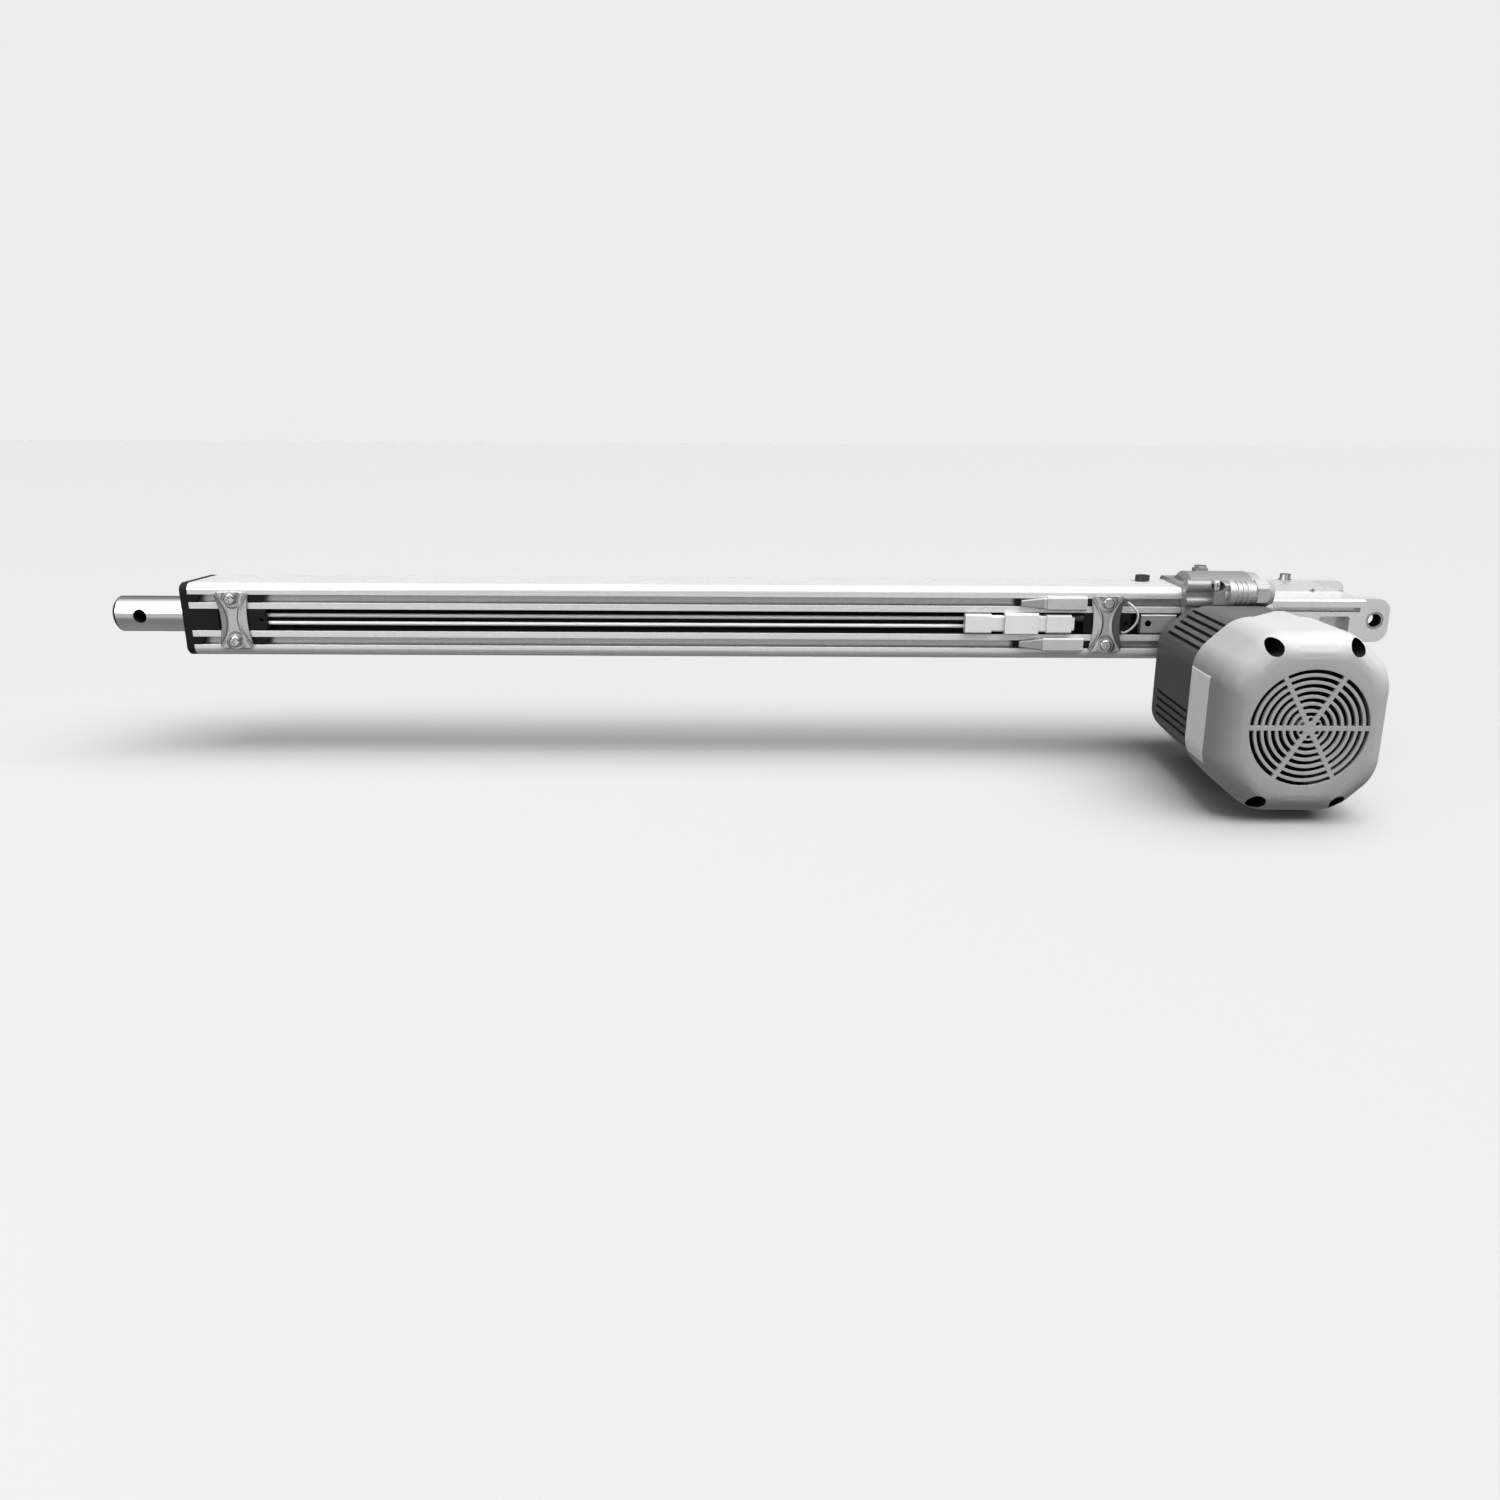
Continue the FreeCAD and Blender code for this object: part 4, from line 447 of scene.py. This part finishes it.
def grained(name, dark, light, roughness, metallic=0.0, stretch=(1, 1, 1), scale=900.0, relief=0.15,
            relief_depth=0.00005, coat=0.0, specular=0.5):
    """A surface whose tone, gloss and relief follow one grain, stretched for brushed or drawn metal."""
    material, nodes, links, shader = new_material(name)
    fine = noise(nodes, links, mapped(nodes, links, stretch), scale)
    broad = noise(nodes, links, mapped(nodes, links, (1, 1, 1)), BROAD_SCALE, BROAD_DETAIL)
    broad_part = math_node(nodes, links, "MULTIPLY", broad, 1.0 - FINE_SHARE)
    grain = math_node(nodes, links, "MULTIPLY_ADD", fine, FINE_SHARE, broad_part)
    links.new(tinted(nodes, links, grain, dark, light), shader.inputs["Base Color"])
    links.new(ranged(nodes, links, grain, *roughness), shader.inputs["Roughness"])
    bump(nodes, links, fine, shader, relief, relief_depth)
    shader.inputs["Metallic"].default_value = metallic
    shader.inputs["Coat Weight"].default_value = coat
    shader.inputs["Specular IOR Level"].default_value = specular
    return material


def build_materials():
    """One procedural material for each of the record's slots."""
    return {
        "anodised_extrusion": grained(
            "drawn_aluminium", grey(0.68), grey(0.74), (0.24, 0.30), metallic=0.55, stretch=(0.02, 1, 1),
            scale=1400.0, relief=0.12, relief_depth=0.00002),
        "die_cast_aluminium": grained(
            "die_cast", grey(0.30), grey(0.38), (0.24, 0.34), metallic=0.65, scale=420.0, relief=0.2,
            relief_depth=0.0001),
        "machined_aluminium": grained(
            "machined_aluminium", grey(0.67), grey(0.74), (0.24, 0.32), metallic=0.6, stretch=(0.3, 1, 1),
            scale=500.0, relief=0.03, relief_depth=0.00002),
        "painted_motor_shell": grained(
            "motor_paint", grey(0.05), grey(0.075), (0.40, 0.50), scale=800.0, relief=0.3,
            relief_depth=0.00008, coat=0.1),
        "grey_moulded_plastic": grained(
            "moulded_grey", grey(0.28), grey(0.32), (0.34, 0.42), scale=1600.0, relief_depth=0.00004,
            specular=0.4),
        "black_plastic": grained(
            "black_plastic", grey(0.006), grey(0.011), (0.45, 0.58), scale=1500.0, relief=0.25,
            specular=0.15),
        "white_nylon": grained(
            "white_nylon", grey(0.56), grey(0.64), (0.3, 0.42), relief=0.1, relief_depth=0.00004),
        "clear_sleeve": grained(
            "grey_sleeve", grey(0.36), grey(0.44), (0.28, 0.4), scale=500.0, relief_depth=0.00008),
        "chromed_steel": grained(
            "hard_chrome", grey(0.80), grey(0.86), (0.28, 0.32), metallic=1.0, stretch=(4, 0.3, 0.3),
            scale=600.0, relief=0.03, relief_depth=0.000005),
        "zinc_steel": grained(
            "bright_zinc", grey(0.60), grey(0.70), (0.18, 0.28), metallic=1.0, scale=350.0, relief=0.1,
            relief_depth=0.00004),
        "blackened_steel": grained(
            "black_oxide", grey(0.03), grey(0.06), (0.2, 0.32), metallic=0.6, relief_depth=0.00004),
        "machined_steel": grained(
            "turned_steel", grey(0.45), grey(0.6), (0.2, 0.32), metallic=1.0, stretch=(1, 0.1, 0.1),
            scale=1500.0, relief_depth=0.00003),
        "lamination_steel": grained(
            "laminations", grey(0.22), grey(0.38), (0.35, 0.5), metallic=0.9, stretch=(0.2, 6, 0.2),
            scale=500.0, relief=0.4, relief_depth=0.0001),
        "bronze": grained(
            "bronze", (0.45, 0.27, 0.10), (0.62, 0.40, 0.17), (0.25, 0.38), metallic=1.0),
        "copper_winding": grained(
            "enamelled_copper", (0.35, 0.11, 0.03), (0.60, 0.24, 0.09), (0.25, 0.4), metallic=0.8,
            stretch=(1, 1, 5), scale=400.0, relief=0.5, relief_depth=0.0002),
        "wire_insulation": grained(
            "light_pvc", grey(0.62), grey(0.72), (0.3, 0.4), stretch=(0.1, 1, 1), scale=700.0, relief=0.1),
        "dark_cable": grained("dark_pvc", grey(0.03), grey(0.05), (0.4, 0.5), scale=700.0),
        "wiper_rubber": grained("rubber", grey(0.010), grey(0.020), (0.6, 0.75), relief=0.2),
        "magnet_ferrite": grained(
            "ferrite", grey(0.05), grey(0.09), (0.5, 0.6), metallic=0.3, scale=700.0, relief=0.2),
        "label_film": grained("blank_label", grey(0.80), grey(0.88), (0.30, 0.38), scale=200.0, relief=0.0),
    }


def shade_rod(made):
    """The rod and its plug: painted shade on the rim and in the cross hole, round outside."""
    hole = (ROD_END_X + ROD_HOLE_FROM_END, 0.0)
    paint_rod_rim_shade(made["chromed_steel"])
    paint_hole_shade(made["chromed_steel"], "piston_rod", hole, CROSS_BORE, PAINTED_HOLE_SHADE_TONE)
    paint_hole_shade(made["machined_steel"], "piston_rod", hole, CROSS_BORE, PAINTED_HOLE_SHADE_TONE)
    round_normals(made["chromed_steel"])


def shade_details(made):
    """Small parts that share a slot but are darker or lighter than the rest of it; painted shade in the eye's
    bore and the block's hole, and a painted highlight on the rib screw.
    """
    eye = middle_of("eye_bush")
    # painted shade in the rear eye's bore
    paint_hole_shade(made["machined_steel"], "eye_bush", (eye.x, eye.z), CROSS_BORE, PAINTED_EYE_SHADE_TONE)
    block_hole = (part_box("groove_block")[0].x + BLOCK_BORE_FROM_END, BLOCK_BORE_Z)
    retone_node(made["die_cast_aluminium"], "groove_block", *BLOCK_SHADE)
    # painted shade in the groove block's hole
    paint_hole_shade(made["die_cast_aluminium"], "groove_block", block_hole, BLOCK_BORE, PAINTED_HOLE_SHADE_TONE)
    retone_span(made["machined_aluminium"], GLAND_FROM_X, FLANGE_TO_X, *GLAND_SHADE)
    axis_x = middle_of("rib_screw").x
    # painted highlight in the middle of the rib screw
    retone_span(made["blackened_steel"], axis_x - PAINTED_GLINT_REACH[0], axis_x + PAINTED_GLINT_REACH[1], *PAINTED_GLINT)
    retone_node(made["wire_insulation"], "jumper_lead", *JUMPER_SHADE)
    crimp_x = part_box("upper_slot_connector")[0].x
    retone_span(made["clear_sleeve"], crimp_x - SPAN_MARGIN, crimp_x + CRIMP_LENGTH, *CRIMP_SHADE)


# --- finished edges ----------------------------------------------------------------------------
EDGE_BREAK = 0.0003
EDGE_ANGLE = 32.0
WELD_REACH = 1e-6


def finish_edges(obj, width):
    """Shades the object smoothly and rounds its sharp edges by a real edge break."""
    for polygon in obj.data.polygons:
        polygon.use_smooth = True
    if width:
        edge = obj.modifiers.new("edge_break", "BEVEL")
        edge.width = width
        edge.segments = 2
        edge.limit_method = "ANGLE"
        edge.angle_limit = math.radians(EDGE_ANGLE)
        edge.harden_normals = True
    normals = obj.modifiers.new("normals", "WEIGHTED_NORMAL")
    normals.keep_sharp = True


def dress_cad_nodes(materials):
    """Gives each CAD node its slot's material and finished edges; the thin label keeps its sharp ones."""
    slots = {part["node"]: part["material_slot"] for part in frame["record"]["subparts"]}
    for node, obj in NODES.items():
        obj.data.materials.clear()
        obj.data.materials.append(materials[slots[node]])
        weld = obj.modifiers.new("weld", "WELD")
        weld.merge_threshold = WELD_REACH
        finish_edges(obj, 0.0 if node == "rating_plate" else EDGE_BREAK)


# --- modelled pieces ---------------------------------------------------------------------------
CREASE_AT = 0.0042                     # a crease's distance from the plate's middle line
CREASE_SPREAD, CREASE_SPREAD_Z = 0.0075, 0.02   # what that distance gains, and by which height
CREASE_SLOPE, CREASE_RIDGE, CREASE_WIDTH = 0.10, 0.0003, 0.0009
PLATE_ROUND = 0.004
PLATE_WAIST, PLATE_WAIST_RADIUS = 0.0025, 0.07  # how far the sides are drawn in, on which radius
WASHER_REACH, WASHER_EASE = 0.0062, 0.0025      # flat ring round each screw, and the ramp beside it
PLATE_COLUMNS, PLATE_ROWS = 40, 70

INSERT_HALF = 0.0031                   # half height of a dark block in a slot
INSERT_FRONT_Y, INSERT_BACK_Y = TUBE_FRONT_Y + 0.0001, TUBE_FRONT_Y + 0.0023
OUTER_INSERT_PAST, OUTER_INSERT_SLANT = 0.0095, 0.003   # past the outer clamp, with a slanted end
INNER_INSERT_SHORT = 0.001             # ends just under the inner clamp
CRIMP_INSERT_LENGTH = 0.0045


def finish_piece(name, mesh_data, material, bevel=0.0):
    """Makes an object of a bmesh, finished and tied to the housing."""
    bmesh.ops.recalc_face_normals(mesh_data, faces=mesh_data.faces)
    mesh = bpy.data.meshes.new(name)
    mesh_data.to_mesh(mesh)
    mesh_data.free()
    mesh.materials.append(material)
    piece = bpy.data.objects.new(name, mesh)
    bpy.context.scene.collection.objects.link(piece)
    finish_edges(piece, bevel)
    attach(piece, "housing")
    return piece


def smooth_step(value):
    """Eases from 0 to 1."""
    value = min(1.0, max(0.0, value))
    return value * value * (3 - 2 * value)


def plate_half_width(z, half_height, half_width):
    """Half width of a clamp plate at one height: drawn-in sides and rounded corners."""
    inset = PLATE_WAIST - (PLATE_WAIST_RADIUS - math.sqrt(PLATE_WAIST_RADIUS ** 2 - z ** 2))
    width = half_width - max(0.0, inset)
    into_corner = abs(z) - (half_height - PLATE_ROUND)
    if into_corner > 0:
        width -= PLATE_ROUND - math.sqrt(max(0.0, PLATE_ROUND ** 2 - into_corner ** 2))
    return width


def crease_depth(x, z):
    """How far the pressed plate lies back at a place: two bowed creases with sloping wings beside them."""
    crease = CREASE_AT + CREASE_SPREAD * (z / CREASE_SPREAD_Z) ** 2
    away = abs(x) - crease
    depth = CREASE_RIDGE * (1 - math.exp(-(away / CREASE_WIDTH) ** 2)) + CREASE_SLOPE * max(0.0, away)
    from_screw = math.hypot(x, abs(z) - SLOT_Z)
    return depth * smooth_step((from_screw - WASHER_REACH) / WASHER_EASE)


def clamp_plate(node, material):
    """Pressed switch clamp: a bowed plate with creases, in the place of the flat CAD plate."""
    low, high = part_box(node)
    middle, half = middle_of(node), half_of(node)
    mesh_data = bmesh.new()
    rows = []
    for j in range(PLATE_ROWS + 1):
        z = half.z * (2 * j / PLATE_ROWS - 1)
        width = plate_half_width(z, half.z, half.x)
        row = []
        for i in range(PLATE_COLUMNS + 1):
            x = width * (2 * i / PLATE_COLUMNS - 1)
            y = low.y + crease_depth(x, z)
            row.append(mesh_data.verts.new((middle.x + x, y, middle.z + z)))
        rows.append(row)
    for lower, upper in zip(rows, rows[1:]):
        for i in range(PLATE_COLUMNS):
            mesh_data.faces.new((lower[i], lower[i + 1], upper[i + 1], upper[i]))
    rim = [edge for edge in mesh_data.edges if edge.is_boundary]
    extruded = bmesh.ops.extrude_edge_only(mesh_data, edges=rim)
    for vert in [item for item in extruded["geom"] if isinstance(item, bmesh.types.BMVert)]:
        vert.co.y = high.y
    piece = finish_piece(node + "_pressed", mesh_data, material)
    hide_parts(node)


def slot_insert(name, x0, x1, slant, side, material):
    """Dark block lying in a T-slot between its lips; one end can be cut on the slant."""
    mesh_data = bmesh.new()
    low_z, high_z = side * SLOT_Z - INSERT_HALF, side * SLOT_Z + INSERT_HALF
    outline = ((x0, low_z), (x1, low_z), (x1 + slant, high_z), (x0, high_z))
    front = [mesh_data.verts.new((x, INSERT_FRONT_Y, z)) for x, z in outline]
    back = [mesh_data.verts.new((x, INSERT_BACK_Y, z)) for x, z in outline]
    mesh_data.faces.new(front)
    mesh_data.faces.new(back[::-1])
    for i in range(4):
        j = (i + 1) % 4
        mesh_data.faces.new((front[i], back[i], back[j], front[j]))
    piece = finish_piece(name, mesh_data, material, EDGE_BREAK)


def tube_pieces(materials):
    """The pressed clamps, and dark blocks beside them in both T-slots."""
    clamp_plate("outer_switch_clamp", materials["zinc_steel"])
    clamp_plate("inner_switch_clamp", materials["zinc_steel"])
    black = materials["black_plastic"]
    outer_low, outer_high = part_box("outer_switch_clamp")
    outer_end = outer_high.x + OUTER_INSERT_PAST
    inner_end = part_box("inner_switch_clamp")[1].x - INNER_INSERT_SHORT
    for side, label in ((1, "upper"), (-1, "lower")):
        low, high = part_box(label + "_slot_connector")
        slot_insert(label + "_outer_insert", outer_low.x, outer_end, OUTER_INSERT_SLANT, side, black)
        # painted shade: a dark block put in the shadowed gap between the connector and the inner clamp
        slot_insert(label + "_inner_shade_block", high.x, inner_end, 0.0, side, black)
        slot_insert(label + "_crimp_insert", low.x - CRIMP_INSERT_LENGTH, low.x, 0.0, side, black)


make_camera()
make_world()
make_floor()
MATERIALS = build_materials()
# painted shade in the groove, slots, pockets, holes and on the rod's rim, and a painted highlight on the rib
# screw
paint_groove_shade(MATERIALS["anodised_extrusion"])
paint_pocket_shade(MATERIALS["grey_moulded_plastic"])
shade_rod(MATERIALS)
shade_details(MATERIALS)
dress_cad_nodes(MATERIALS)
tube_pieces(MATERIALS)
for light in AREA_LIGHTS:
    area_light(*light)
make_sun()
